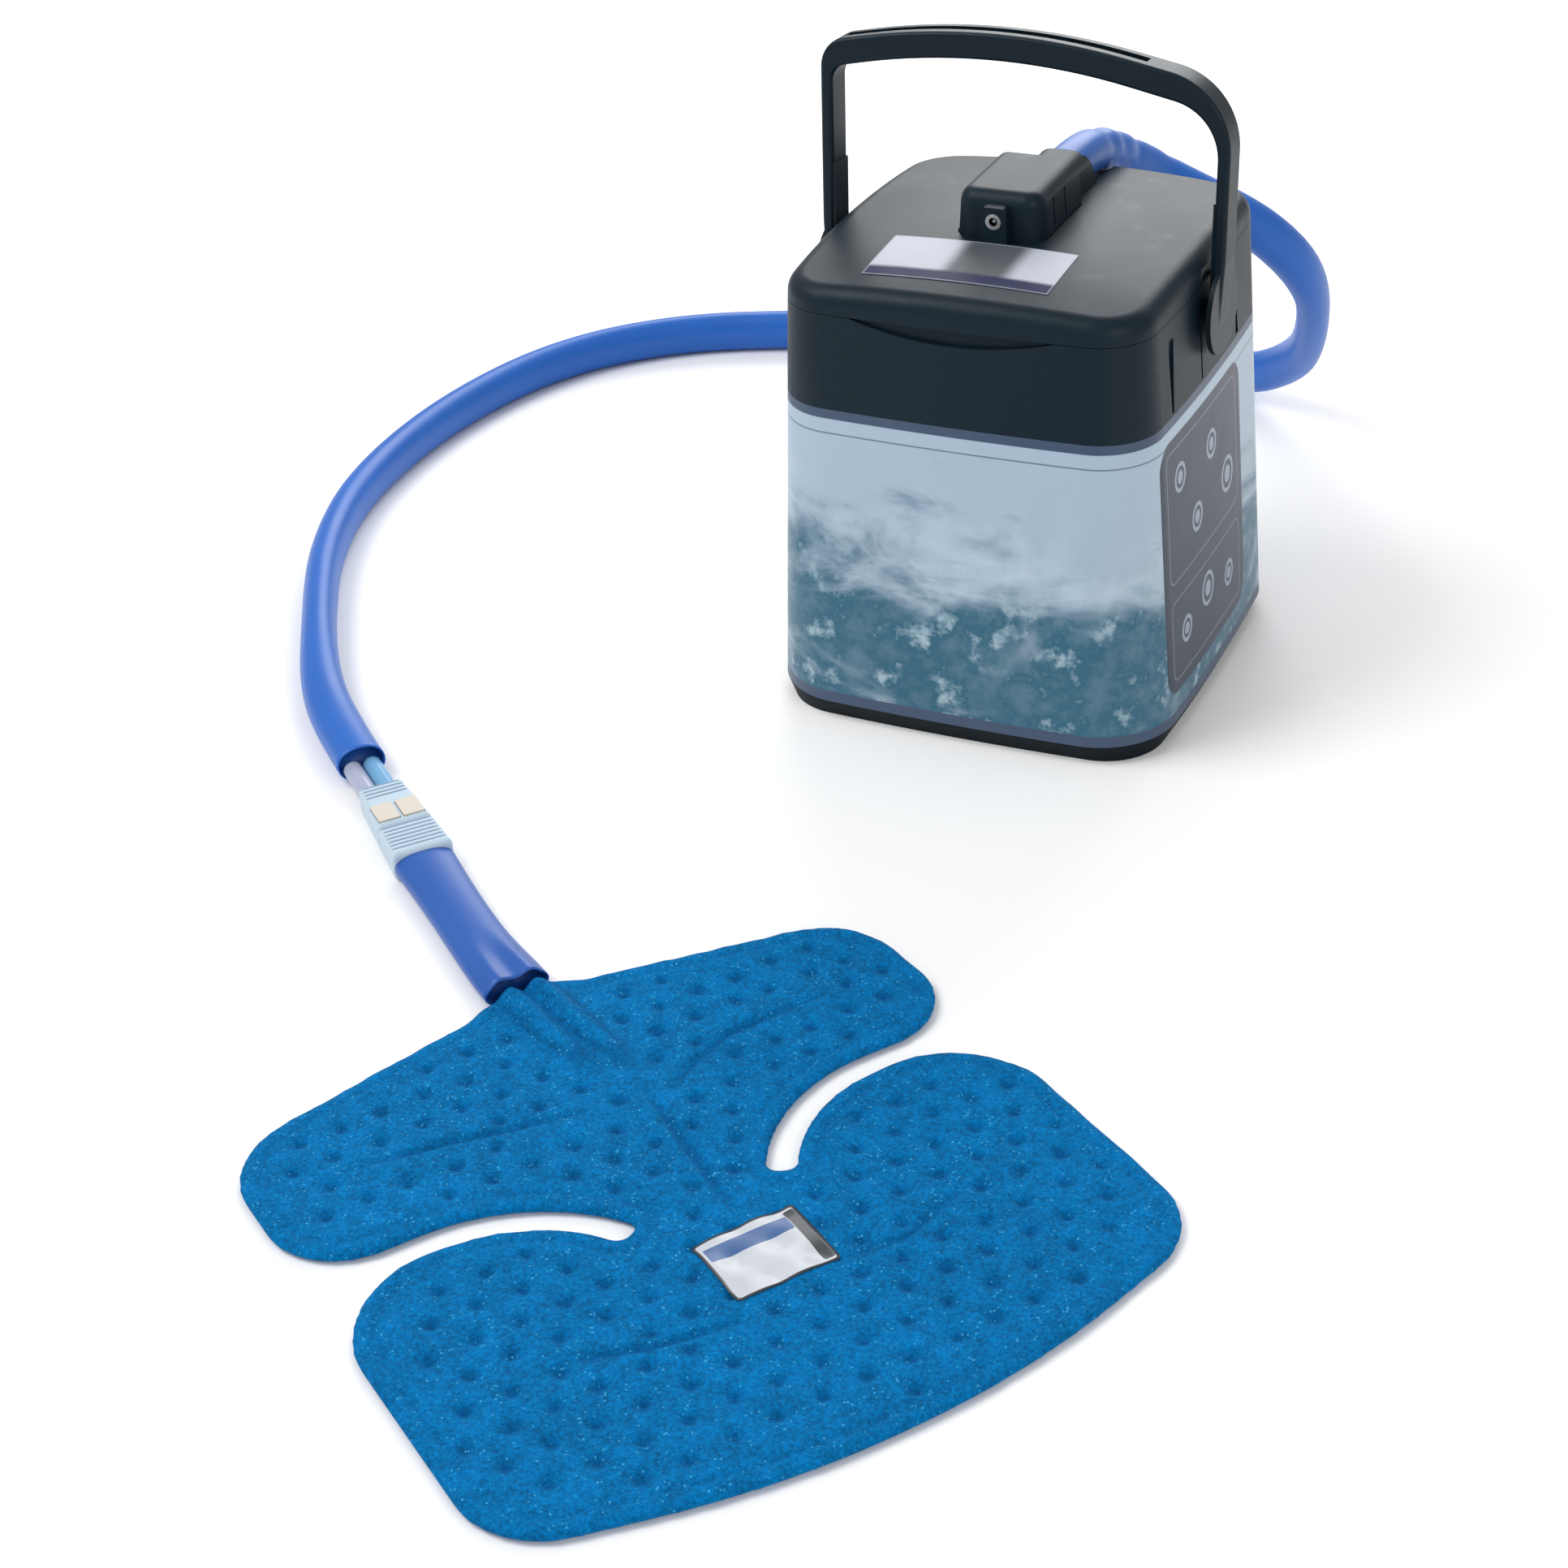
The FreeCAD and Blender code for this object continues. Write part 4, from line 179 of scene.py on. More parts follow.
class Finish:
    """A procedural material on a piece's own coordinates."""

    def __init__(self, name, **constants):
        self.material = bpy.data.materials.new(name)
        self.material.use_nodes = True
        self.tree = self.material.node_tree
        self.surface = self.tree.nodes["Principled BSDF"]
        for socket, value in constants.items():
            self.surface.inputs[socket.replace("_", " ")].default_value = value
        self.place = self.node("ShaderNodeTexCoord", out="Object")

    def node(self, kind, settings=None, sockets=None, out=0):
        """Add a node, set it up, and feed its sockets with values or links."""
        made = self.tree.nodes.new(kind)
        for name, value in (settings or {}).items():
            setattr(made, name, value)
        for name, value in (sockets or {}).items():
            if isinstance(value, Value):
                self.tree.links.new(value.socket, made.inputs[name])
            else:
                made.inputs[name].default_value = value
        return Value(self, made.outputs[out])

    def feed(self, **values):
        """Link varying values to the surface shader."""
        for name, value in values.items():
            self.tree.links.new(value.socket, self.surface.inputs[name.replace("_", " ")])
        return self

    def axes(self, place=None):
        split = self.node("ShaderNodeSeparateXYZ", sockets={0: place or self.place})
        return [Value(self, split.socket.node.outputs[name]) for name in "XYZ"]

    def scaled(self, x, y, z, turn=(0, 0, 0)):
        return self.node("ShaderNodeMapping", sockets={
            "Vector": self.place, "Scale": (x, y, z), "Rotation": turn})

    def speckle(self, scale, detail=3, rough=0.55, place=None, warp=0):
        """Noise from 0 to 1."""
        return self.node("ShaderNodeTexNoise", sockets={
            "Vector": place or self.place, "Scale": scale, "Detail": detail, "Roughness": rough,
            "Distortion": warp})

    def cells(self, scale):
        """Distance to the nearest of scattered points."""
        return self.node("ShaderNodeTexVoronoi", sockets={"Vector": self.place, "Scale": scale})

    def oblong(self, across, up, centre, half, radius):
        """Distance outside a rounded oblong; inside it no less than -radius."""
        side = ((across - centre[0]).size() - (half[0] - radius)).at_least(0)
        rise = ((up - centre[1]).size() - (half[1] - radius)).at_least(0)
        return (side * side + rise * rise) ** 0.5 - radius

    def blend(self, share, first, second):
        """A colour between two."""
        colours = [value if isinstance(value, Value) else (*value, 1) for value in (first, second)]
        return self.node("ShaderNodeMix", {"data_type": "RGBA"}, {
            0: share, 6: colours[0], 7: colours[1]}, out=2)

    def shade(self, colour, share, amount):
        """A colour made lighter or darker by a value round 0.5."""
        colour = colour if isinstance(colour, Value) else (*colour, 1)
        return self.node("ShaderNodeHueSaturation", sockets={
            "Color": colour, "Value": 1 + (share - 0.5) * (2 * amount)})

    def bump(self, height, strength, depth):
        return self.node("ShaderNodeBump", sockets={
            "Strength": strength, "Distance": depth, "Height": height})


def plastic(name, colour, grain=0.3, rough=0.44, gloss=0.21, **constants):
    """Moulded plastic: a fine etched grain, faint flow marks and uneven gloss."""
    finish = Finish(name, Specular_IOR_Level=gloss, Specular_Tint=(0.80, 0.93, 1.0, 1), **constants)
    fine = finish.speckle(2600, 2)
    broad = finish.speckle(18, 3)
    scuffs = finish.speckle(60, 4, place=finish.scaled(1, 1, 5)).above(0.58, 0.72)
    return finish.feed(
        Base_Color=finish.shade(colour, broad * 0.5 + fine * 0.5, 0.10),
        Roughness=rough + (broad - 0.5) * 0.10 - scuffs * 0.05,
        Normal=finish.bump(fine, grain, 0.00012),
    ).material


def metal(name, colour):
    """Turned or drawn metal with a faint brushed grain."""
    finish = Finish(name, Metallic=1.0)
    brushed = finish.speckle(900, 2, place=finish.scaled(0.05, 0.05, 1))
    return finish.feed(
        Base_Color=finish.shade(colour, brushed, 0.12),
        Roughness=0.25 + (brushed - 0.5) * 0.15,
        Normal=finish.bump(brushed, 0.1, 0.00005),
    ).material


def dress(material, *names):
    """Give CAD nodes a finish."""
    for name in names:
        mesh = NODES[name].data
        mesh.materials.clear()
        mesh.materials.append(material)


# ---- mesh helpers ----

def finished(name, mesh_or_bm, material, body):
    """Put a mesh into the scene on its body."""
    mesh = mesh_or_bm
    if isinstance(mesh_or_bm, bmesh.types.BMesh):
        mesh = to_mesh(mesh_or_bm)
    mesh.name = name
    for face in mesh.polygons:
        face.use_smooth = True
    piece = bpy.data.objects.new(name, mesh)
    bpy.context.scene.collection.objects.link(piece)
    mesh.materials.clear()
    mesh.materials.append(material)
    if body:
        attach(piece, body)
    return piece


def to_mesh(bm):
    """A mesh of a bmesh, which is freed."""
    mesh = bpy.data.meshes.new("made")
    bm.to_mesh(mesh)
    bm.free()
    return mesh


def routed(points):
    """The points of a smooth line through a route's control points, and their lengths along it."""
    curve = bpy.data.curves.new("route", "CURVE")
    curve.dimensions = "3D"
    curve.resolution_u = 12
    spline = curve.splines.new("NURBS")
    spline.points.add(len(points) - 1)
    for point, place in zip(spline.points, points):
        point.co = (*place, 1)
    spline.order_u = 3
    spline.use_endpoint_u = True
    holder = bpy.data.objects.new("route", curve)
    line = bpy.data.meshes.new_from_object(holder)
    places = [vertex.co.copy() for vertex in line.vertices]
    bpy.data.objects.remove(holder)
    bpy.data.curves.remove(curve)
    bpy.data.meshes.remove(line)
    run = [0.0]
    for first, second in zip(places, places[1:]):
        run.append(run[-1] + (second - first).length)
    return places, run


def along(places, run, distance):
    """The place and direction at a distance along a line."""
    distance = min(max(distance, 0), run[-1])
    index = 0
    while index < len(run) - 2 and run[index + 1] < distance:
        index += 1
    share = (distance - run[index]) / max(run[index + 1] - run[index], 1e-9)
    before, after = places[max(index - 1, 0)], places[min(index + 2, len(places) - 1)]
    place = places[index].lerp(places[index + 1], share)
    return place, (after - before).normalized()


def next_ring(bm, ring):
    """Extrude a ring of vertices, and give the new ring in the same order."""
    sides = len(ring)
    edges = [bm.edges.get((ring[k], ring[(k + 1) % sides])) for k in range(sides)]
    made = bmesh.ops.extrude_edge_only(bm, edges=edges)["geom"]
    fresh = {vert for vert in made if isinstance(vert, bmesh.types.BMVert)}
    return [next(edge.other_vert(old) for edge in old.link_edges if edge.other_vert(old) in fresh)
            for old in ring]


SWEEP_STEP = 0.003
MOUTH_WALL, MOUTH_DEPTH = 0.0009, 0.012


def swept(line, section, sides):
    """A tube along a line: section(distance, angle) gives each point's side and up offsets.

    The side is level, and up leans with the line. The near end is closed. The far end is a mouth:
    its wall turns inwards, and the hollow ends in a floor."""
    places, run = line
    end = run[-1]
    count = round(end / SWEEP_STEP)
    stations = [(end * index / count, 0) for index in range(count + 1)]
    stations += [(end, MOUTH_WALL * 0.5), (end - MOUTH_WALL, MOUTH_WALL)]
    stations += [(end - (MOUTH_WALL + MOUTH_DEPTH * share), MOUTH_WALL) for share in (0.25, 0.5, 1)]
    bm = bmesh.new()
    rings = []
    for distance, inset in stations:
        place, ahead = along(places, run, distance)
        side = ahead.cross(Vector((0, 0, 1))).normalized()
        up = side.cross(ahead).normalized()
        ring = next_ring(bm, rings[-1]) if rings else \
            bmesh.ops.create_circle(bm, segments=sides, radius=1)["verts"]
        for k, vert in enumerate(ring):
            offset = Vector(section(distance, 2 * math.pi * k / sides))
            across, high = offset * (1 - inset / offset.length)
            vert.co = place + side * across + up * high
        rings.append(ring)
    for ring in (rings[0], rings[-1]):
        bmesh.ops.contextual_create(bm, geom=[bm.edges.get((ring[k], ring[(k + 1) % sides]))
                                              for k in range(sides)])
    bmesh.ops.recalc_face_normals(bm, faces=bm.faces)
    return bm


def oval(wide, high, power):
    """A rounded section, squarer as the power grows."""
    def at(angle):
        c, s = math.cos(angle), math.sin(angle)
        return (wide / 2 * math.copysign(abs(c) ** (2 / power), c),
                high / 2 * math.copysign(abs(s) ** (2 / power), s))
    return at


def node_copy(name, place):
    """A merged copy of a CAD node's mesh, taken into a frame of its own."""
    bm = bmesh.new()
    bm.from_mesh(NODES[name].data)
    bmesh.ops.remove_doubles(bm, verts=bm.verts, dist=1e-6)
    bmesh.ops.transform(bm, matrix=place.inverted(), verts=bm.verts)
    return bm


def applied(piece):
    """The piece's mesh as its modifiers leave it; the piece itself is removed."""
    graph = bpy.context.evaluated_depsgraph_get()
    mesh = bpy.data.meshes.new_from_object(piece.evaluated_get(graph))
    bpy.data.objects.remove(piece)
    return mesh


def with_modifier(mesh, kind, **settings):
    """A mesh after one modifier."""
    piece = bpy.data.objects.new("made", mesh)
    bpy.context.scene.collection.objects.link(piece)
    modifier = piece.modifiers.new(kind.lower(), kind)
    for name, value in settings.items():
        setattr(modifier, name, value)
    return applied(piece)


def tree_of(points):
    """A tree that finds the nearest of the points."""
    tree = kdtree.KDTree(len(points))
    for index, place in enumerate(points):
        tree.insert(place, index)
    tree.balance()
    return tree


def gap_to(tree, place):
    """Distance from a place to the nearest of a tree's flat points, seen from above."""
    return tree.find((place.x, place.y, 0))[2]


def nearest_on(path, point):
    """Distance from a flat point to a run of lines, and the share of the way along it."""
    best, share, gone = 1e9, 0, 0
    legs = [(Vector(start), Vector(stop) - Vector(start)) for start, stop in zip(path, path[1:])]
    total = sum(step.length for start, step in legs)
    for start, step in legs:
        part = min(max((point - start).dot(step) / step.length_squared, 0), 1)
        distance = (point - start - step * part).length
        if distance < best:
            best, share = distance, (gone + step.length * part) / total
        gone += step.length
    return best, share


def within(outline, spot):
    """Whether a flat point lies inside a closed run of points."""
    inside = False
    for a, b in zip(outline, outline[1:] + outline[:1]):
        if (a.y > spot.y) != (b.y > spot.y):
            if spot.x < a.x + (spot.y - a.y) * (b.x - a.x) / (b.y - a.y):
                inside = not inside
    return inside


def bell(distance, width):
    """1 at no distance, falling smoothly to nearly 0 at twice the width."""
    return math.exp(-(distance / width) ** 2)


def smooth_step(value, low, high):
    share = min(max((value - low) / (high - low), 0), 1)
    return share * share * (3 - 2 * share)


# ---- operators ----

class PieceOperator:
    """What the operators share."""

    bl_options = {"REGISTER", "UNDO"}


GLOW = 0.55  # the surround's strength
CAMERA_PLACE, CAMERA_LENS = (0.4783, -1.2688, 0.7564), 67.55
CAMERA_TURNS = (0.458, 0.554, 0.061)  # yaw, downward pitch, roll
# Each lamp's name, place, aim, width, and share of the key light's power.
LAMPS = (
    ("key", (-1.3, -0.9, 2.1), (0, 0, 0.1), 1.6, 4),
    ("fill", (1.8, -1.4, 1.3), (0, 0, 0.1), 1.4, 1.6),
    ("back", (-0.45, 1.9, 1.3), (0, 0, 0.15), 1.7, 3.6),
)


class THERAPY_OT_stage(PieceOperator, bpy.types.Operator):
    """Lay the pale floor, and set the lights and the camera"""

    bl_idname = "therapy.stage"
    bl_label = "Stage"

    def execute(self, context):
        settings = context.scene.therapy_stage
        scene = context.scene
        scene.view_settings.view_transform = "Standard"
        bm = bmesh.new()
        bmesh.ops.create_grid(bm, x_segments=1, y_segments=1, size=12)
        finish = Finish("floor_paper", Roughness=0.9)
        grain = finish.speckle(400, 2)
        finish.feed(Base_Color=finish.shade(tuple(settings.floor), grain, 0.01))
        floor = finished("floor", bm, finish.material, None)
        self.studio(scene)
        for name, place, aim, width, share in LAMPS:
            lamp = bpy.data.lights.new(name, "AREA")
            lamp.shape = "DISK"
            lamp.size = width
            lamp.energy = settings.key * share
            light = bpy.data.objects.new(name, lamp)
            light.location = place
            light.rotation_mode = "QUATERNION"
            light.rotation_quaternion = (Vector(aim) - Vector(place)).to_track_quat("-Z", "Y")
            scene.collection.objects.link(light)
        self.camera(scene)
        return {"FINISHED"}

    def studio(self, scene):
        """A soft white surround that the camera sees as plain white."""
        world = bpy.data.worlds.new("studio")
        world.use_nodes = True
        scene.world = world
        tree = world.node_tree
        glow = tree.nodes["Background"]
        glow.inputs["Color"].default_value = (1, 1, 1, 1)
        glow.inputs["Strength"].default_value = GLOW
        seen = tree.nodes.new("ShaderNodeBackground")
        seen.inputs["Color"].default_value = (1, 1, 1, 1)
        rays = tree.nodes.new("ShaderNodeLightPath")
        mix = tree.nodes.new("ShaderNodeMixShader")
        tree.links.new(rays.outputs["Is Camera Ray"], mix.inputs[0])
        tree.links.new(glow.outputs[0], mix.inputs[1])
        tree.links.new(seen.outputs[0], mix.inputs[2])
        tree.links.new(mix.outputs[0], tree.nodes["World Output"].inputs[0])

    def camera(self, scene):
        """Look down from the front right, with the machine's right side in view."""
        lens = bpy.data.cameras.new("camera")
        lens.lens, lens.sensor_width = CAMERA_LENS, 36
        lens.sensor_fit = "HORIZONTAL"
        camera = bpy.data.objects.new("camera", lens)
        yaw, pitch, roll = CAMERA_TURNS
        ahead = Vector((-math.sin(yaw) * math.cos(pitch), math.cos(yaw) * math.cos(pitch),
                        -math.sin(pitch)))
        right = Vector((math.cos(yaw), math.sin(yaw), 0))
        down = ahead.cross(right)
        across = math.cos(roll) * right + math.sin(roll) * down
        fall = math.cos(roll) * down - math.sin(roll) * right
        turn = Matrix((across, -fall, -ahead)).transposed().to_4x4()
        camera.matrix_world = Matrix.Translation(CAMERA_PLACE) @ turn
        scene.collection.objects.link(camera)
        scene.camera = camera


class THERAPY_OT_bucket(PieceOperator, bpy.types.Operator):
    """Finish the boot, shell, foam, liner, collar and pins"""

    bl_idname = "therapy.bucket"
    bl_label = "Bucket"

    def execute(self, context):
        settings = context.scene.therapy_bucket
        slate = plastic("slate_plastic", tuple(settings.plastic))
        dress(slate, "top_collar", "lid_shell", "pump_cover", "hose_spout", "outer_shell")
        dark = plastic("dark_plastic", tuple(settings.handle), rough=0.40)
        dress(dark, "handle_bail", "pivot_pin_left", "pivot_pin_right")
        boot = plastic("boot_rubber", tuple(c * 0.7 for c in settings.handle), rough=0.55,
                       gloss=0.12)
        dress(boot, "base_bumper")
        white = plastic("white_plastic", (0.78, 0.80, 0.81), rough=0.3)
        dress(white, "inner_liner", "lid_liner")
        foam = plastic("white_foam", (0.82, 0.83, 0.80), rough=0.9, grain=0.8)
        dress(foam, "foam_insulation", "lid_foam")
        return {"FINISHED"}


# Heights on the wrap: the low band's top, the thin line, and the high band's foot.
LOW_BAND, THIN_LINE, HIGH_BAND = 0.0155, 0.1554, 0.1630
# The side panel, as places and sizes across the wall (y) and up it (z).
PANEL_MIDDLE, PANEL_HALF, PANEL_CORNER = (-0.0155, 0.091), (0.0595, 0.066), 0.012
PANEL_FRAMES = [(0.117, 0.034), (0.052, 0.021)]  # height of the middle, half the height
PANEL_RINGS = [  # across, up, radius
    (-0.050, 0.134, 0.0065), (-0.028, 0.103, 0.0065), (-0.004, 0.131, 0.0065),
    (0.020, 0.104, 0.0085), (-0.048, 0.052, 0.0060), (-0.016, 0.058, 0.0080),
    (0.018, 0.050, 0.0060),
]


class THERAPY_OT_wrap(PieceOperator, bpy.types.Operator):
    """Print the wrap: a frosty ground, drifting mist, slate bands and a dark side panel"""

    bl_idname = "therapy.wrap"
    bl_label = "Wrap"

    def execute(self, context):
        settings = context.scene.therapy_bucket
        finish = Finish("wrap_film", Coat_Weight=0.08, Coat_Roughness=0.25, Specular_IOR_Level=0.28)
        x, y, z = finish.axes()
        broad = finish.speckle(14, 5, 0.6, warp=0.6)
        fine = finish.speckle(60, 6, 0.65)
        leaning = finish.scaled(1, 1, 2.2, turn=(0, 0.5, 0))
        drift = finish.speckle(9, 4, 0.6, place=leaning, warp=1.2)
        low = 1 - z.above(0.045, 0.155)
        mist = (drift * 0.9 + broad * 0.5 + low * 0.35 - 0.35).above(0.44, 0.70)
        flecks = fine.above(0.52, 0.70) * mist
        haze = (broad * 0.6 + fine * 0.4).above(0.40, 0.62)
        shaded = tuple(c * 0.8 for c in settings.frost)
        art = finish.blend(z.above(0.02, 0.16) * 0.6, shaded, tuple(settings.frost))
        art = finish.blend(haze * low * 0.6, art, (0.66, 0.78, 0.86))
        tall = finish.scaled(1, 1, 0.6)
        blots = finish.speckle(26, 4, 0.7, place=tall, warp=0.4).above(0.60, 0.78)
        art = finish.blend(blots * 0.35, art, (0.10, 0.30, 0.45))
        art = finish.blend(mist * (0.50 + fine * 0.9), art, tuple(settings.mist))
        art = finish.blend(flecks * 0.6, art, (0.55, 0.70, 0.78))
        bands = (1 - z.above(LOW_BAND, LOW_BAND + 0.0005)).at_least(
            z.above(HIGH_BAND, HIGH_BAND + 0.0005))
        art = finish.blend(bands, art, tuple(settings.band))
        line = z.above(THIN_LINE, THIN_LINE + 0.0002) * (
            1 - z.above(THIN_LINE + 0.0008, THIN_LINE + 0.0010))
        art = finish.blend(line * 0.7, art, tuple(settings.band))
        right = x.above(0.080, 0.0805)
        panel = 1 - finish.oblong(y, z, PANEL_MIDDLE, PANEL_HALF, PANEL_CORNER).above(0, 0.0006)
        marks = self.marks(finish, y, z)
        art = finish.blend(panel * right, art, tuple(settings.panel))
        art = finish.blend(marks * right * 0.75, art, (0.36, 0.43, 0.52))
        finish.feed(Base_Color=art, Roughness=0.32 + fine * 0.12)
        dress(finish.material, "label_wrap")
        return {"FINISHED"}

    def marks(self, finish, across, up):
        """Plain marks for the side panel: two thin frames, and rings with a dot in each."""
        drawn = 0
        for height, half in PANEL_FRAMES:
            edge = finish.oblong(across, up, (PANEL_MIDDLE[0], height), (0.052, half), 0.005)
            drawn = (1 - edge.size().above(0.0002, 0.0006)) * 0.5 + drawn
        for place, height, radius in PANEL_RINGS:
            side, rise = across - place, up - height
            distance = (side * side + rise * rise) ** 0.5
            ring = 1 - (distance - radius).size().above(0.0008, 0.0013)
            dot = 1 - distance.above(radius * 0.5, radius * 0.56)
            drawn = ring.at_least(dot).at_least(drawn)
        return drawn


# The sticker, seen from above.
STICKER_MIDDLE, STICKER_HALF = (-0.0055, -0.0565), (0.0455, 0.0205)


class THERAPY_OT_inside(PieceOperator, bpy.types.Operator):
    """Finish the jack, the seal, the sticker and the pump inside the bucket"""

    bl_idname = "therapy.inside"
    bl_label = "Jack and pump"

    def execute(self, context):
        black = plastic("black_plastic", (0.008, 0.008, 0.009), rough=0.35)
        dress(black, "pump_column", "pump_housing", "intake_strainer", "impeller", "jack_body")
        seal = plastic("grey_seal", (0.45, 0.47, 0.48), rough=0.6, grain=0.1)
        dress(seal, "lid_gasket")
        steel = metal("bright_steel", (0.62, 0.62, 0.63))
        dress(steel, "lid_screws", "motor_shaft", "pump_motor", "jack_pin", "jack_ring")
        clear = plastic("clear_tube", (0.6, 0.65, 0.75), rough=0.2, grain=0.02,
                        Transmission_Weight=0.5)
        dress(clear, "inner_supply_tube", "inner_return_tube")
        board = plastic("board_green", (0.01, 0.12, 0.04), rough=0.3)
        dress(board, "control_board")
        self.sticker()
        return {"FINISHED"}

    def sticker(self):
        """A clear film: milky at its ends, with a navy band along its front edge."""
        finish = Finish("sticker_film", Specular_IOR_Level=0.12)
        x, y = finish.axes()[:2]
        cloud = finish.speckle(40, 3)
        milky = (1 - x.above(-0.019, -0.010)).at_least(x.above(0.012, 0.022))
        milky = milky * 0.85 + cloud * 0.15
        colour = finish.blend(milky, (0.055, 0.066, 0.074), (0.50, 0.53, 0.60))
        band = 1 - (y + cloud * 0.002).above(-0.0695, -0.0655)
        colour = finish.blend(band, colour, (0.002, 0.007, 0.055))
        edge = finish.oblong(x, y, STICKER_MIDDLE, STICKER_HALF, 0.001)
        colour = finish.blend(edge.above(-0.0002, 0.0003) * 0.5, colour, (0.35, 0.38, 0.45))
        finish.feed(Base_Color=colour, Roughness=0.42 + cloud * 0.1)
        dress(finish.material, "lid_sticker")


def vinyl(name, colour):
    """The soft sleeve of the hose and the pad's inlet."""
    finish = Finish(name, Sheen_Weight=0.04, Sheen_Roughness=0.4, Specular_IOR_Level=0.4)
    broad = finish.speckle(22, 3)
    fine = finish.speckle(1400, 2)
    return finish.feed(
        Base_Color=finish.shade(tuple(colour), broad * 0.8 + fine * 0.2, 0.12),
        Roughness=0.40 + (broad - 0.5) * 0.12,
        Normal=finish.bump(broad * 0.7 + fine * 0.05, 0.35, 0.0015),
    ).material


# The hose stops being round over the first span, and turns flat over the other before its end.
HOSE_ROUND, HOSE_TURN = (0.03, 0.20), (0.16, 0.03)
FOLD_WIDTH = 0.0045
# Folds near the spout: distance along the hose, share of its width, and lean.
HOSE_FOLDS = [(0.050, -0.10, 0.3), (0.066, -0.08, 0.9), (0.084, -0.09, 1.5), (0.116, -0.05, 0.6)]


class THERAPY_OT_hose(PieceOperator, bpy.types.Operator):
    """Lay the sleeved hose from the spout to its open end on the floor"""

    bl_idname = "therapy.hose"
    bl_label = "Hose"

    def execute(self, context):
        settings = context.scene.therapy_hose
        line = routed(HOSE_ROUTE)
        wide, thin = settings.width, settings.height
        middle = (wide + thin) / 2
        length = line[1][-1]

        def section(distance, angle):
            """Round at the spout, upright on its way, and lying flat at the open end."""
            flat = smooth_step(distance, length - HOSE_TURN[0], length - HOSE_TURN[1])
            round_share = 1 - smooth_step(distance, *HOSE_ROUND)
            across = thin + (wide - thin) * flat
            tall = wide + (thin - wide) * flat
            across += (middle - across) * round_share
            tall += (middle - tall) * round_share
            side, up = oval(across, tall, 2.15)(angle)
            swell = 1 + sum(
                high * bell(distance + 0.004 * math.sin(angle + lean) - place, FOLD_WIDTH)
                for place, high, lean in HOSE_FOLDS)
            return side * swell, up * swell

        bm = swept(line, section, sides=40)
        hose = finished("hose_sleeve", bm, vinyl("hose_vinyl", settings.vinyl), None)
        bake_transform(hose)
        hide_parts("hose_outlet", "hose_run")
        return {"FINISHED"}


class THERAPY_OT_coupling(PieceOperator, bpy.types.Operator):
    """Finish the bare tubes and the coupling"""

    bl_idname = "therapy.coupling"
    bl_label = "Coupling"

    def execute(self, context):
        settings = context.scene.therapy_hose
        supply = plastic("supply_tube", tuple(settings.supply), rough=0.18, grain=0.02,
                         Transmission_Weight=0.35)
        back = plastic("return_tube", tuple(settings.back), rough=0.2, grain=0.02,
                       Transmission_Weight=0.2)
        dress(supply, "tube_supply")
        dress(back, "tube_return")
        body = plastic("coupling_plastic", tuple(settings.coupling), rough=0.42, grain=0.15)
        dress(body, "coupling_body", "coupling_insert", "probe_a", "probe_b")
        thumb = plastic("thumb_plastic", tuple(settings.thumb), rough=0.45, grain=0.15)
        dress(thumb, "latch_plate_a", "latch_plate_b")
        steel = metal("spring_steel", (0.55, 0.55, 0.56))
        dress(steel, "latch_spring_a", "latch_spring_b")
        rubber = plastic("seal_rubber", (0.01, 0.01, 0.01), rough=0.7)
        dress(rubber, "coupling_seals")
        return {"FINISHED"}


# The pad in its own frame: x runs from its neck, z is up.
PAD_THICK, PAD_UNDER = 0.0058, 0.0004
PAD_CELL, PAD_ROUNDING = 0.003, 0.0010
PAD_CREASES = [
    [(0.073, -0.108), (0.079, -0.070), (0.088, -0.035), (0.093, -0.0175)],
    [(0.0785, 0.107), (0.079, 0.062), (0.088, 0.040), (0.0995, 0.023)],
    [(0.2206, 0.0875), (0.2328, 0.054), (0.230, 0.026)],
    [(0.222, -0.088), (0.232, -0.060), (0.2376, -0.031), (0.240, -0.024)],
    [(0.095, 0.0125), (0.122, 0.011), (0.155, 0.008), (0.186, 0.005)],
]
PAD_CHANNELS = [
    [(-0.006, -0.0055), (0.040, -0.003), (0.079, 0.003)],
    [(-0.006, 0.0075), (0.045, 0.012), (0.092, 0.019)],
]
RIM_CLEAR, CREASE_CLEAR, CHANNEL_CLEAR, DIMPLE_STRAY = 0.0135, 0.006, 0.011, 0.0022
HEM_WIDTH, HEM_DEPTH = 0.0018, 0.0008
CREASE_WIDTH, CREASE_DEPTH = 0.0022, 0.0024
CHANNEL_WIDTH, CHANNEL_HEIGHT = 0.0052, 0.0060
WELD_WIDTH, WELD_DEPTH = 0.0030, 0.0012
DIMPLE_WIDTH, PAD_WAVE = 0.0031, 0.0007
SWELL_FRAMES, SWELL_PRESSURE, SWELL_MOST = 20, 4, 0.005


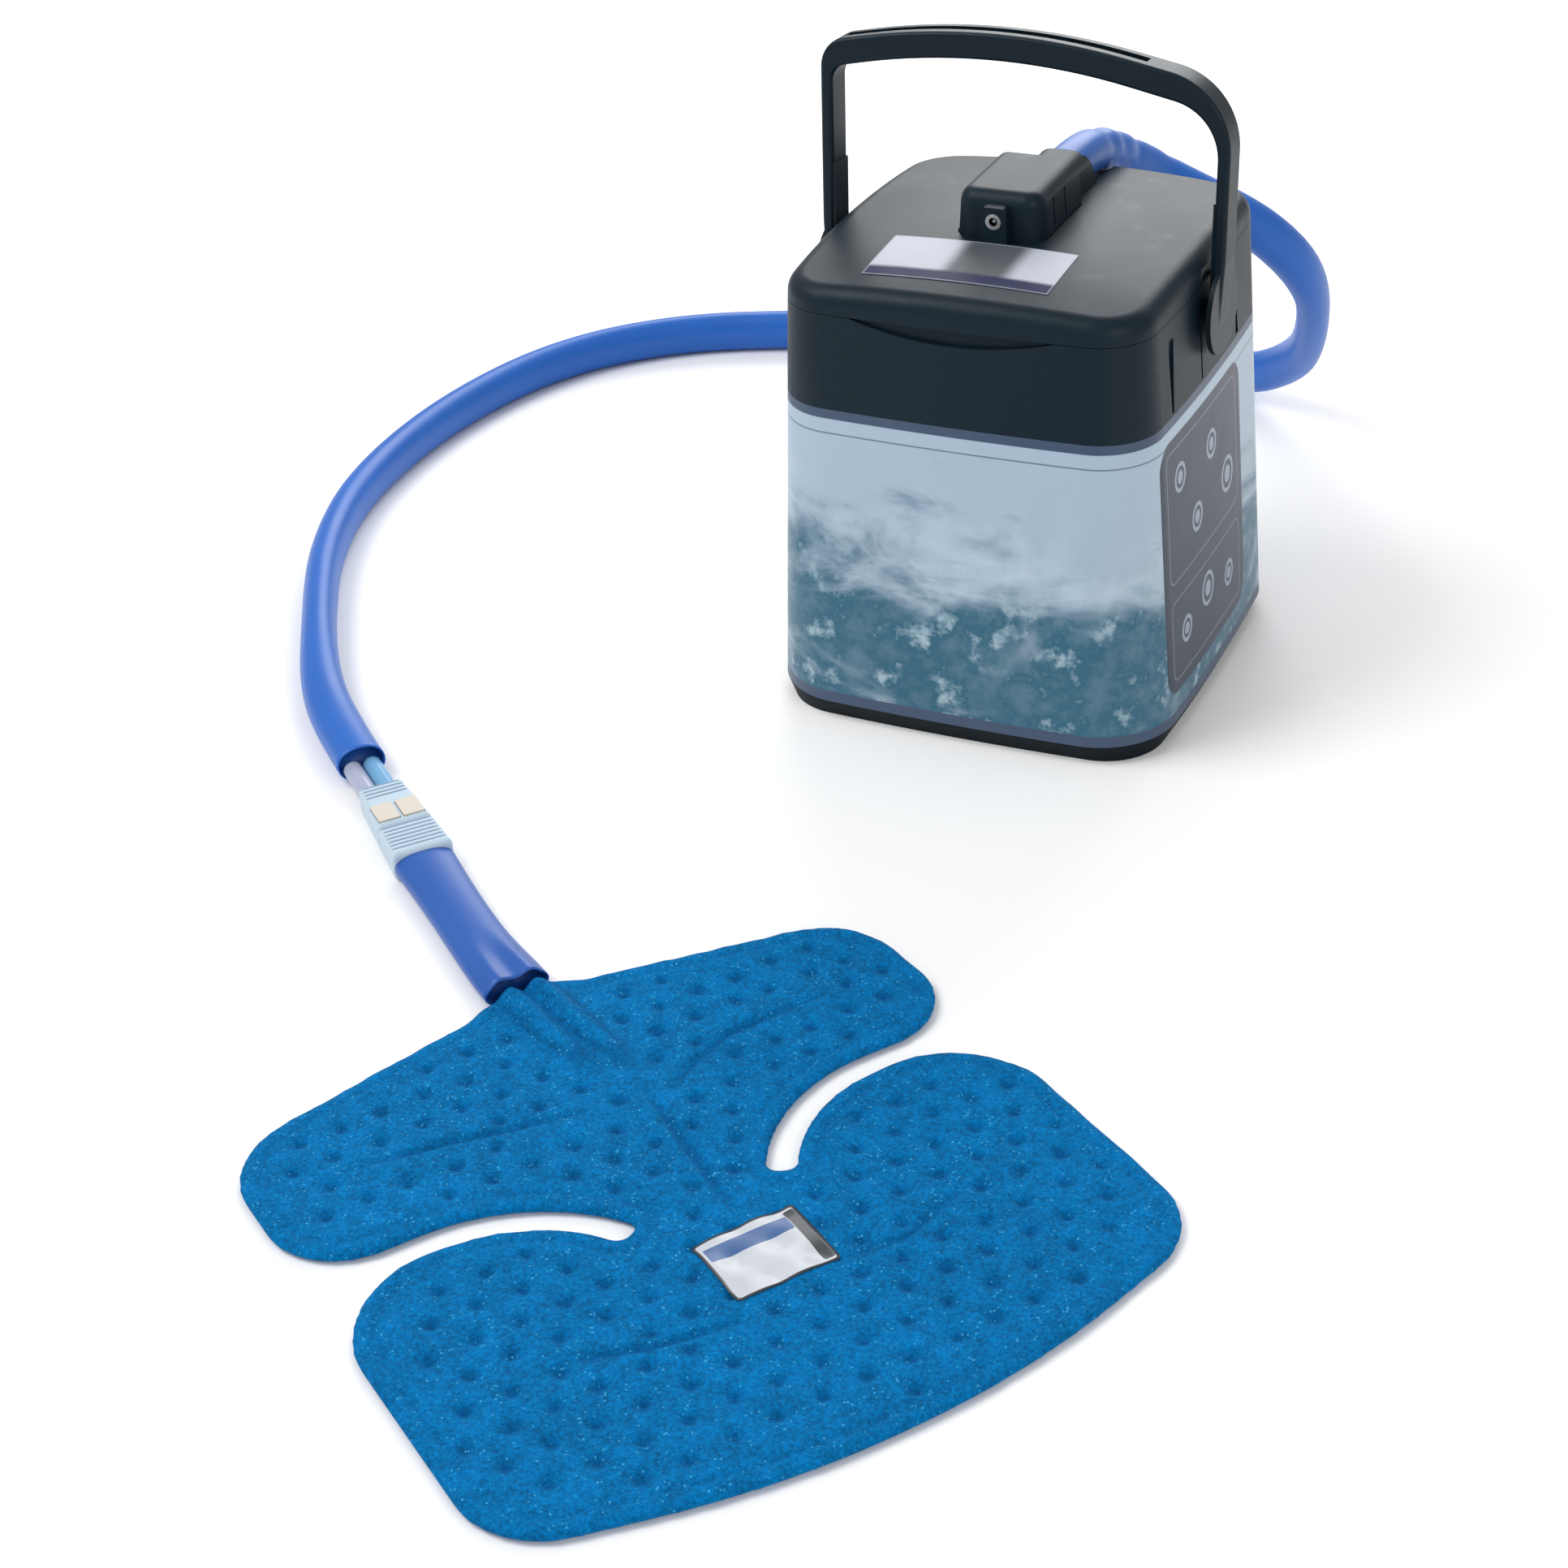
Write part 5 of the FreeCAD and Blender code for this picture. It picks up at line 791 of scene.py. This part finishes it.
class THERAPY_OT_pad(PieceOperator, bpy.types.Operator):
    """Quilt the knee pad: cloth blown up between its welds, with creases and tube channels"""

    bl_idname = "therapy.pad"
    bl_label = "Pad"

    def execute(self, context):
        settings = context.scene.therapy_pad
        outline = pad_outline()
        rim = tree_of(outline)
        mesh = pad_blank(rim)
        welds = tree_of(pad_welds(settings.pitch, outline, rim))
        mesh = blown_up(mesh, rim, welds)
        mesh = with_modifier(mesh, "SUBSURF", levels=1, render_levels=1)
        # The attribute holds painted shade for the dimples, creases, hem and channel valleys.
        painted_shade = mesh.attributes.new("painted_shade", "FLOAT", "POINT")
        slopes = [vertex.normal.z for vertex in mesh.vertices]
        for vertex, slope in zip(mesh.vertices, slopes):
            painted_shade.data[vertex.index].value = shape_pad(vertex, slope, rim, welds, settings)
        mesh.transform(PAD)
        pad = finished("knee_pad", mesh, self.cloth(settings), "pad")
        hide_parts("pad_cover_top", "pad_cover_bottom", "pad_bladder")
        return {"FINISHED"}

    def cloth(self, settings):
        """Brushed loop cloth: coarse pile, painted glints, and painted shade in its hollows."""
        finish = Finish("pad_cloth", Sheen_Weight=0.10, Sheen_Roughness=0.5,
                        Sheen_Tint=(0.1, 0.5, 0.9, 1), Specular_IOR_Level=0.08)
        loops = finish.cells(1100)
        tufts = finish.speckle(560, 3, 0.75)
        patches = finish.speckle(120, 4, 0.65)
        broad = finish.speckle(16, 3)
        # Painted glints: scattered dots painted lighter, where the cloth is also glossier.
        glints = finish.cells(480).above(0.34, 0.16) * finish.speckle(230, 2).above(0.50, 0.64)
        pile = tufts.above(0.34, 0.66) * 0.6 + patches.above(0.35, 0.65) * 0.28 \
            + broad.above(0.3, 0.7) * 0.12
        colour = finish.shade(tuple(settings.cloth), pile, 0.44)
        # Painted shade: the cloth is darkened in its hollows, as much as the attribute says.
        low = finish.node("ShaderNodeAttribute", {"attribute_name": "painted_shade"}, out="Fac")
        colour = finish.blend(low * 0.62, colour, (0.0, 0.040, 0.15))
        colour = finish.blend(glints * 0.75, colour, (0.05, 0.40, 0.72))
        finish.feed(
            Base_Color=colour,
            Roughness=0.92 - glints * 0.4,
            Normal=finish.bump(tufts * 0.8 + loops * 0.25 + patches * 0.5, 0.9, 0.0016),
        )
        return finish.material


def pad_outline():
    """The pad's edge as a smooth closed run of close points, in its own frame."""
    bm = node_copy("pad_cover_top", PAD)
    top = max(vert.co.z for vert in bm.verts)
    low = [face for face in bm.faces if face.calc_center_median().z < top - 1e-5]
    bmesh.ops.delete(bm, geom=low, context="FACES")
    edge = next(edge for edge in bm.edges if edge.is_boundary)
    first = vert = edge.verts[0]
    corners = []
    while vert != first or not corners:
        corners.append(Vector((vert.co.x, vert.co.y, 0)))
        vert = edge.other_vert(vert)
        edge = next(way for way in vert.link_edges if way.is_boundary and way != edge)
    bm.free()
    ways = []
    for before, here, after in zip(corners[-1:] + corners, corners, corners[1:] + corners[:1]):
        back, on = here - before, after - here
        way = back / back.length_squared + on / on.length_squared
        if max(back.length, on.length) > 3 * min(back.length, on.length):
            way = max(back, on, key=lambda step: step.length)
        ways.append(way.normalized())
    outline = []
    spans = zip(corners, ways, corners[1:] + corners[:1], ways[1:] + ways[:1])
    for here, way, after, next_way in spans:
        reach = (after - here).length
        handle = reach / 3
        count = max(2, math.ceil(reach / 0.001) + 1)
        outline += interpolate_bezier(here, here + way * handle, after - next_way * handle,
                                      after, count)[:-1]
    return outline


def pad_blank(rim):
    """The pad as a thin slab of even cells with a rounded edge, in its own frame."""
    bm = node_copy("pad_cover_top", PAD)
    middle = sum(vert.co.z for vert in bm.verts) / len(bm.verts)
    for vert in bm.verts:
        vert.co.z = PAD_THICK if vert.co.z > middle else PAD_UNDER
    mesh = with_modifier(to_mesh(bm), "REMESH", mode="VOXEL", voxel_size=PAD_CELL)
    bm = bmesh.new()
    bm.from_mesh(mesh)
    for _ in range(3):
        bmesh.ops.smooth_vert(bm, verts=bm.verts, factor=0.5, use_axis_x=True, use_axis_y=True)
    bm.normal_update()
    side = [vert for vert in bm.verts if abs(vert.normal.z) < 0.8]
    for vert in side:
        edge = rim.find((vert.co.x, vert.co.y, 0))[0]
        inset = PAD_ROUNDING * abs(2 * vert.co.z / PAD_THICK - 1)
        vert.co.xy = edge.xy - vert.normal.xy.normalized() * inset
    inner = set(bm.verts) - set(side)
    for _ in range(3):
        bmesh.ops.smooth_vert(bm, verts=list(inner), factor=0.5, use_axis_x=True, use_axis_y=True)
    bm.to_mesh(mesh)
    bm.free()
    return mesh


def pad_welds(pitch, outline, rim):
    """The places of the pad's dimples: uneven staggered rows, clear of the rim and the creases."""
    places = []
    row_pitch = pitch * 0.87
    rows, columns = round(0.33 / row_pitch), round(0.32 / pitch)
    for row in range(rows):
        for column in range(columns):
            spot = Vector((0.012 + row * row_pitch,
                           (column - columns / 2 + 0.5 * (row % 2)) * pitch, 0))
            spot.x += DIMPLE_STRAY * noise.noise(spot * 90)
            spot.y += DIMPLE_STRAY * noise.noise(spot * 90 + Vector((5, 3, 1)))
            clear = gap_to(rim, spot) > RIM_CLEAR and all(
                nearest_on(path, spot.xy)[0] > room
                for paths, room in ((PAD_CREASES, CREASE_CLEAR), (PAD_CHANNELS, CHANNEL_CLEAR))
                for path in paths)
            if clear and within(outline, spot):
                places.append(spot)
    return places


def blown_up(mesh, rim, welds):
    """The slab as cloth, swollen between its welds and its rim, which stay put."""
    piece = bpy.data.objects.new("blank", mesh)
    bpy.context.scene.collection.objects.link(piece)
    pins = piece.vertex_groups.new(name="welds")
    slopes = [vertex.normal.z for vertex in mesh.vertices]
    for vertex, slope in zip(mesh.vertices, slopes):
        weld = bell(gap_to(welds, vertex.co), WELD_WIDTH)
        vertex.co.z -= WELD_DEPTH * weld if slope > 0.3 else 0
        held = 1 if slope < 0.3 else max(0, 2.2 * weld - 1)
        held = max(held, 1 - smooth_step(gap_to(rim, vertex.co), 0.002, 0.005))
        pins.add([vertex.index], min(held, 1), "REPLACE")
    rest = [vertex.co.copy() for vertex in mesh.vertices]
    cloth = piece.modifiers.new("swell", "CLOTH")
    cloth.settings.quality = 5
    cloth.settings.use_pressure = True
    cloth.settings.uniform_pressure_force = SWELL_PRESSURE
    cloth.settings.effector_weights.gravity = 0
    cloth.settings.vertex_group_mass = "welds"
    cloth.point_cache.frame_start, cloth.point_cache.frame_end = 1, SWELL_FRAMES
    for frame_number in range(1, SWELL_FRAMES + 1):
        bpy.context.scene.frame_set(frame_number)
    swollen = applied(piece)
    for vertex, before in zip(swollen.vertices, rest):
        step = vertex.co - before
        if step.length > SWELL_MOST:
            vertex.co = before + step * (SWELL_MOST / step.length)
    bpy.context.scene.frame_set(1)
    return swollen


def shape_pad(vertex, slope, rim, welds, settings):
    """Press a vertex of the pad's upper side into its hem, dimples, creases and channels.

    Gives how much painted shade its hollows take, from 0 to 1."""
    if slope < 0.05:
        return 0
    spot = Vector((vertex.co.x, vertex.co.y))
    share = smooth_step(slope, 0.05, 0.6)
    hem = bell(gap_to(rim, spot) - settings.border, HEM_WIDTH)
    dimple = bell(gap_to(welds, spot), DIMPLE_WIDTH)
    crease = 0
    for path in PAD_CREASES:
        distance, way = nearest_on(path, spot)
        fade = math.sin(math.pi * min(max(way, 0.04), 0.96)) ** 0.4
        crease = max(crease, fade * bell(distance, CREASE_WIDTH))
    channel = 0
    for path in PAD_CHANNELS:
        distance, way = nearest_on(path, spot)
        fade = 1 - smooth_step(way, 0.25, 1.0)
        channel = max(channel, fade * bell(distance, CHANNEL_WIDTH))
    # Painted shade in the valleys beside the tube channels.
    valley_shade = 0.7 * bell(channel - 0.22, 0.14)
    rise = PAD_WAVE * noise.noise(Vector((*spot, 0)) * 60) + CHANNEL_HEIGHT * channel
    rise -= HEM_DEPTH * hem + settings.dimple * dimple + CREASE_DEPTH * crease
    vertex.co.z = max(vertex.co.z + rise * share, 0.0012)
    # The painted shade: most in the dimples, less in the creases and the hem.
    return share * max(dimple, 0.75 * crease, 0.30 * hem, valley_shade)


# The label lies in the pad's own frame.
LABEL_SIZE, LABEL_CORNER, LABEL_MIDDLE = (0.038, 0.046), 0.002, (0.211, 0.003, 0)
LABEL_THICK = 0.0003
# The blank shapes on it: middle, half size and corner radius.
LABEL_BAND = (-0.0095, -0.002), (0.0040, 0.0185), 0.0008
LABEL_BLOCK = (0.0, 0.0195), (0.0165, 0.0024), 0.0012


class THERAPY_OT_pad_label(PieceOperator, bpy.types.Operator):
    """Lay the blank label on the pad"""

    bl_idname = "therapy.pad_label"
    bl_label = "Pad label"

    def execute(self, context):
        bpy.context.view_layer.update()
        pad = bpy.data.objects["knee_pad"]
        bm = bmesh.new()
        bm.loops.layers.uv.new("UVMap")
        bmesh.ops.create_grid(bm, x_segments=24, y_segments=28, size=0.5, calc_uvs=True)
        for vert in bm.verts:
            place = [way * size for way, size in zip(vert.co, LABEL_SIZE)]
            corner = Vector([max(abs(way) - size / 2 + LABEL_CORNER, 0)
                             for way, size in zip(place, LABEL_SIZE)])
            inset = Vector((0, 0))
            if min(corner) > 0:
                inset = corner * (1 - max(corner) / corner.length)
            vert.co.xy = [way - math.copysign(step, way) for way, step in zip(place, inset)]
        bmesh.ops.transform(bm, matrix=PAD @ Matrix.Translation(LABEL_MIDDLE), verts=bm.verts)
        self.drape(bm, pad)
        mesh = with_modifier(to_mesh(bm), "SOLIDIFY", thickness=LABEL_THICK, offset=1)
        label = finished("pad_blank_label", mesh, self.film(), "pad")
        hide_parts("pad_label")
        return {"FINISHED"}

    def drape(self, bm, pad):
        """Drop the label on the pad, and stiffen it so that it bridges the small dips."""
        ground = []
        for vert in bm.verts:
            hit = pad.ray_cast(Vector((vert.co.x, vert.co.y, 0.05)), Vector((0, 0, -1)))[1]
            vert.co.z = hit.z
            ground.append(hit.z)
        for _ in range(12):
            bmesh.ops.smooth_vert(bm, verts=bm.verts, factor=0.5, use_axis_z=True)
        for vert, low in zip(bm.verts, ground):
            vert.co.z = max(vert.co.z, low) + LABEL_THICK
        for _ in range(3):
            bmesh.ops.smooth_vert(bm, verts=bm.verts, factor=0.5, use_axis_z=True)

    def film(self):
        """Pale film with a thin outline, a blue band and a dark block, all blank."""
        finish = Finish("label_film", Coat_Weight=0.3, Coat_Roughness=0.2)
        u, v = finish.axes(finish.node("ShaderNodeTexCoord", out="UV"))[:2]
        long, wide = (u - 0.5) * LABEL_SIZE[0], (v - 0.5) * LABEL_SIZE[1]
        cloud = finish.speckle(60, 3)
        half = [size / 2 - 0.001 for size in LABEL_SIZE]
        rim = finish.oblong(long, wide, (0, 0), half, 0.0015)
        band = 1 - finish.oblong(long, wide, *LABEL_BAND).above(0, 0.0003)
        block = 1 - finish.oblong(long, wide, *LABEL_BLOCK).above(0, 0.0003)
        colour = finish.shade((0.52, 0.55, 0.60), cloud, 0.12)
        colour = finish.blend(band, colour, (0.03, 0.10, 0.28))
        colour = finish.blend(block.at_least(rim.above(-0.0003, 0)), colour, (0.03, 0.035, 0.045))
        finish.feed(Base_Color=colour, Roughness=0.32 + cloud * 0.15)
        return finish.material


SLEEVE_WIDE, SLEEVE_HIGH = 0.0296, 0.0138
# Distances along the sleeve: the end of its waist, and where it starts and stops spreading.
WAIST_END, SPREAD_START, SPREAD_END = 0.105, 0.070, 0.116


class THERAPY_OT_pad_sleeve(PieceOperator, bpy.types.Operator):
    """Draw the flat sleeve between the coupling and the pad's neck"""

    bl_idname = "therapy.pad_sleeve"
    bl_label = "Pad sleeve"

    def execute(self, context):
        settings = context.scene.therapy_hose
        line = routed([COUPLING @ Vector(point) for point in SLEEVE_ROUTE])

        def section(distance, angle):
            """Narrowest half way, and spread over the pad's two channels at its mouth."""
            side, up = oval(SLEEVE_WIDE, SLEEVE_HIGH, 2.3)(angle)
            spread = smooth_step(distance, SPREAD_START, SPREAD_END)
            lobes = 1 - 0.17 * spread * math.cos(2.1 * math.pi * math.cos(angle))
            waist = 1 - 0.09 * math.sin(math.pi * min(distance / WAIST_END, 1))
            return side * waist * (1 + 0.05 * spread), up * lobes

        bm = swept(line, section, sides=48)
        film = vinyl("sleeve_vinyl", settings.sleeve)
        sleeve = finished("sleeve_to_pad", bm, film, "pad")
        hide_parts("pad_sleeve")
        return {"FINISHED"}


class THERAPY_PT_panel(bpy.types.Panel):
    """The machine's pieces and settings"""

    bl_label = "Therapy machine"
    bl_space_type = "VIEW_3D"
    bl_region_type = "UI"
    bl_category = "Therapy"

    def draw(self, context):
        for operator in OPERATORS:
            self.layout.operator(operator.bl_idname)
        for name in SETTINGS:
            group = getattr(context.scene, name)
            column = self.layout.column()
            for prop in group.bl_rna.properties.keys():
                if prop not in ("rna_type", "name"):
                    column.prop(group, prop)


SETTINGS = {
    "therapy_bucket": BucketSettings,
    "therapy_hose": HoseSettings,
    "therapy_pad": PadSettings,
    "therapy_stage": StageSettings,
}
OPERATORS = (
    THERAPY_OT_stage,
    THERAPY_OT_bucket,
    THERAPY_OT_wrap,
    THERAPY_OT_inside,
    THERAPY_OT_hose,
    THERAPY_OT_coupling,
    THERAPY_OT_pad,
    THERAPY_OT_pad_label,
    THERAPY_OT_pad_sleeve,
)


def register():
    for name, group in SETTINGS.items():
        bpy.utils.register_class(group)
        setattr(bpy.types.Scene, name, PointerProperty(type=group))
    for operator in OPERATORS:
        bpy.utils.register_class(operator)
    bpy.utils.register_class(THERAPY_PT_panel)


def unregister():
    bpy.utils.unregister_class(THERAPY_PT_panel)
    for operator in reversed(OPERATORS):
        bpy.utils.unregister_class(operator)
    for name, group in SETTINGS.items():
        delattr(bpy.types.Scene, name)
        bpy.utils.unregister_class(group)


def main():
    register()
    for operator in OPERATORS:
        group, name = operator.bl_idname.split(".")
        getattr(getattr(bpy.ops, group), name)()


if __name__ == "__main__":
    main()
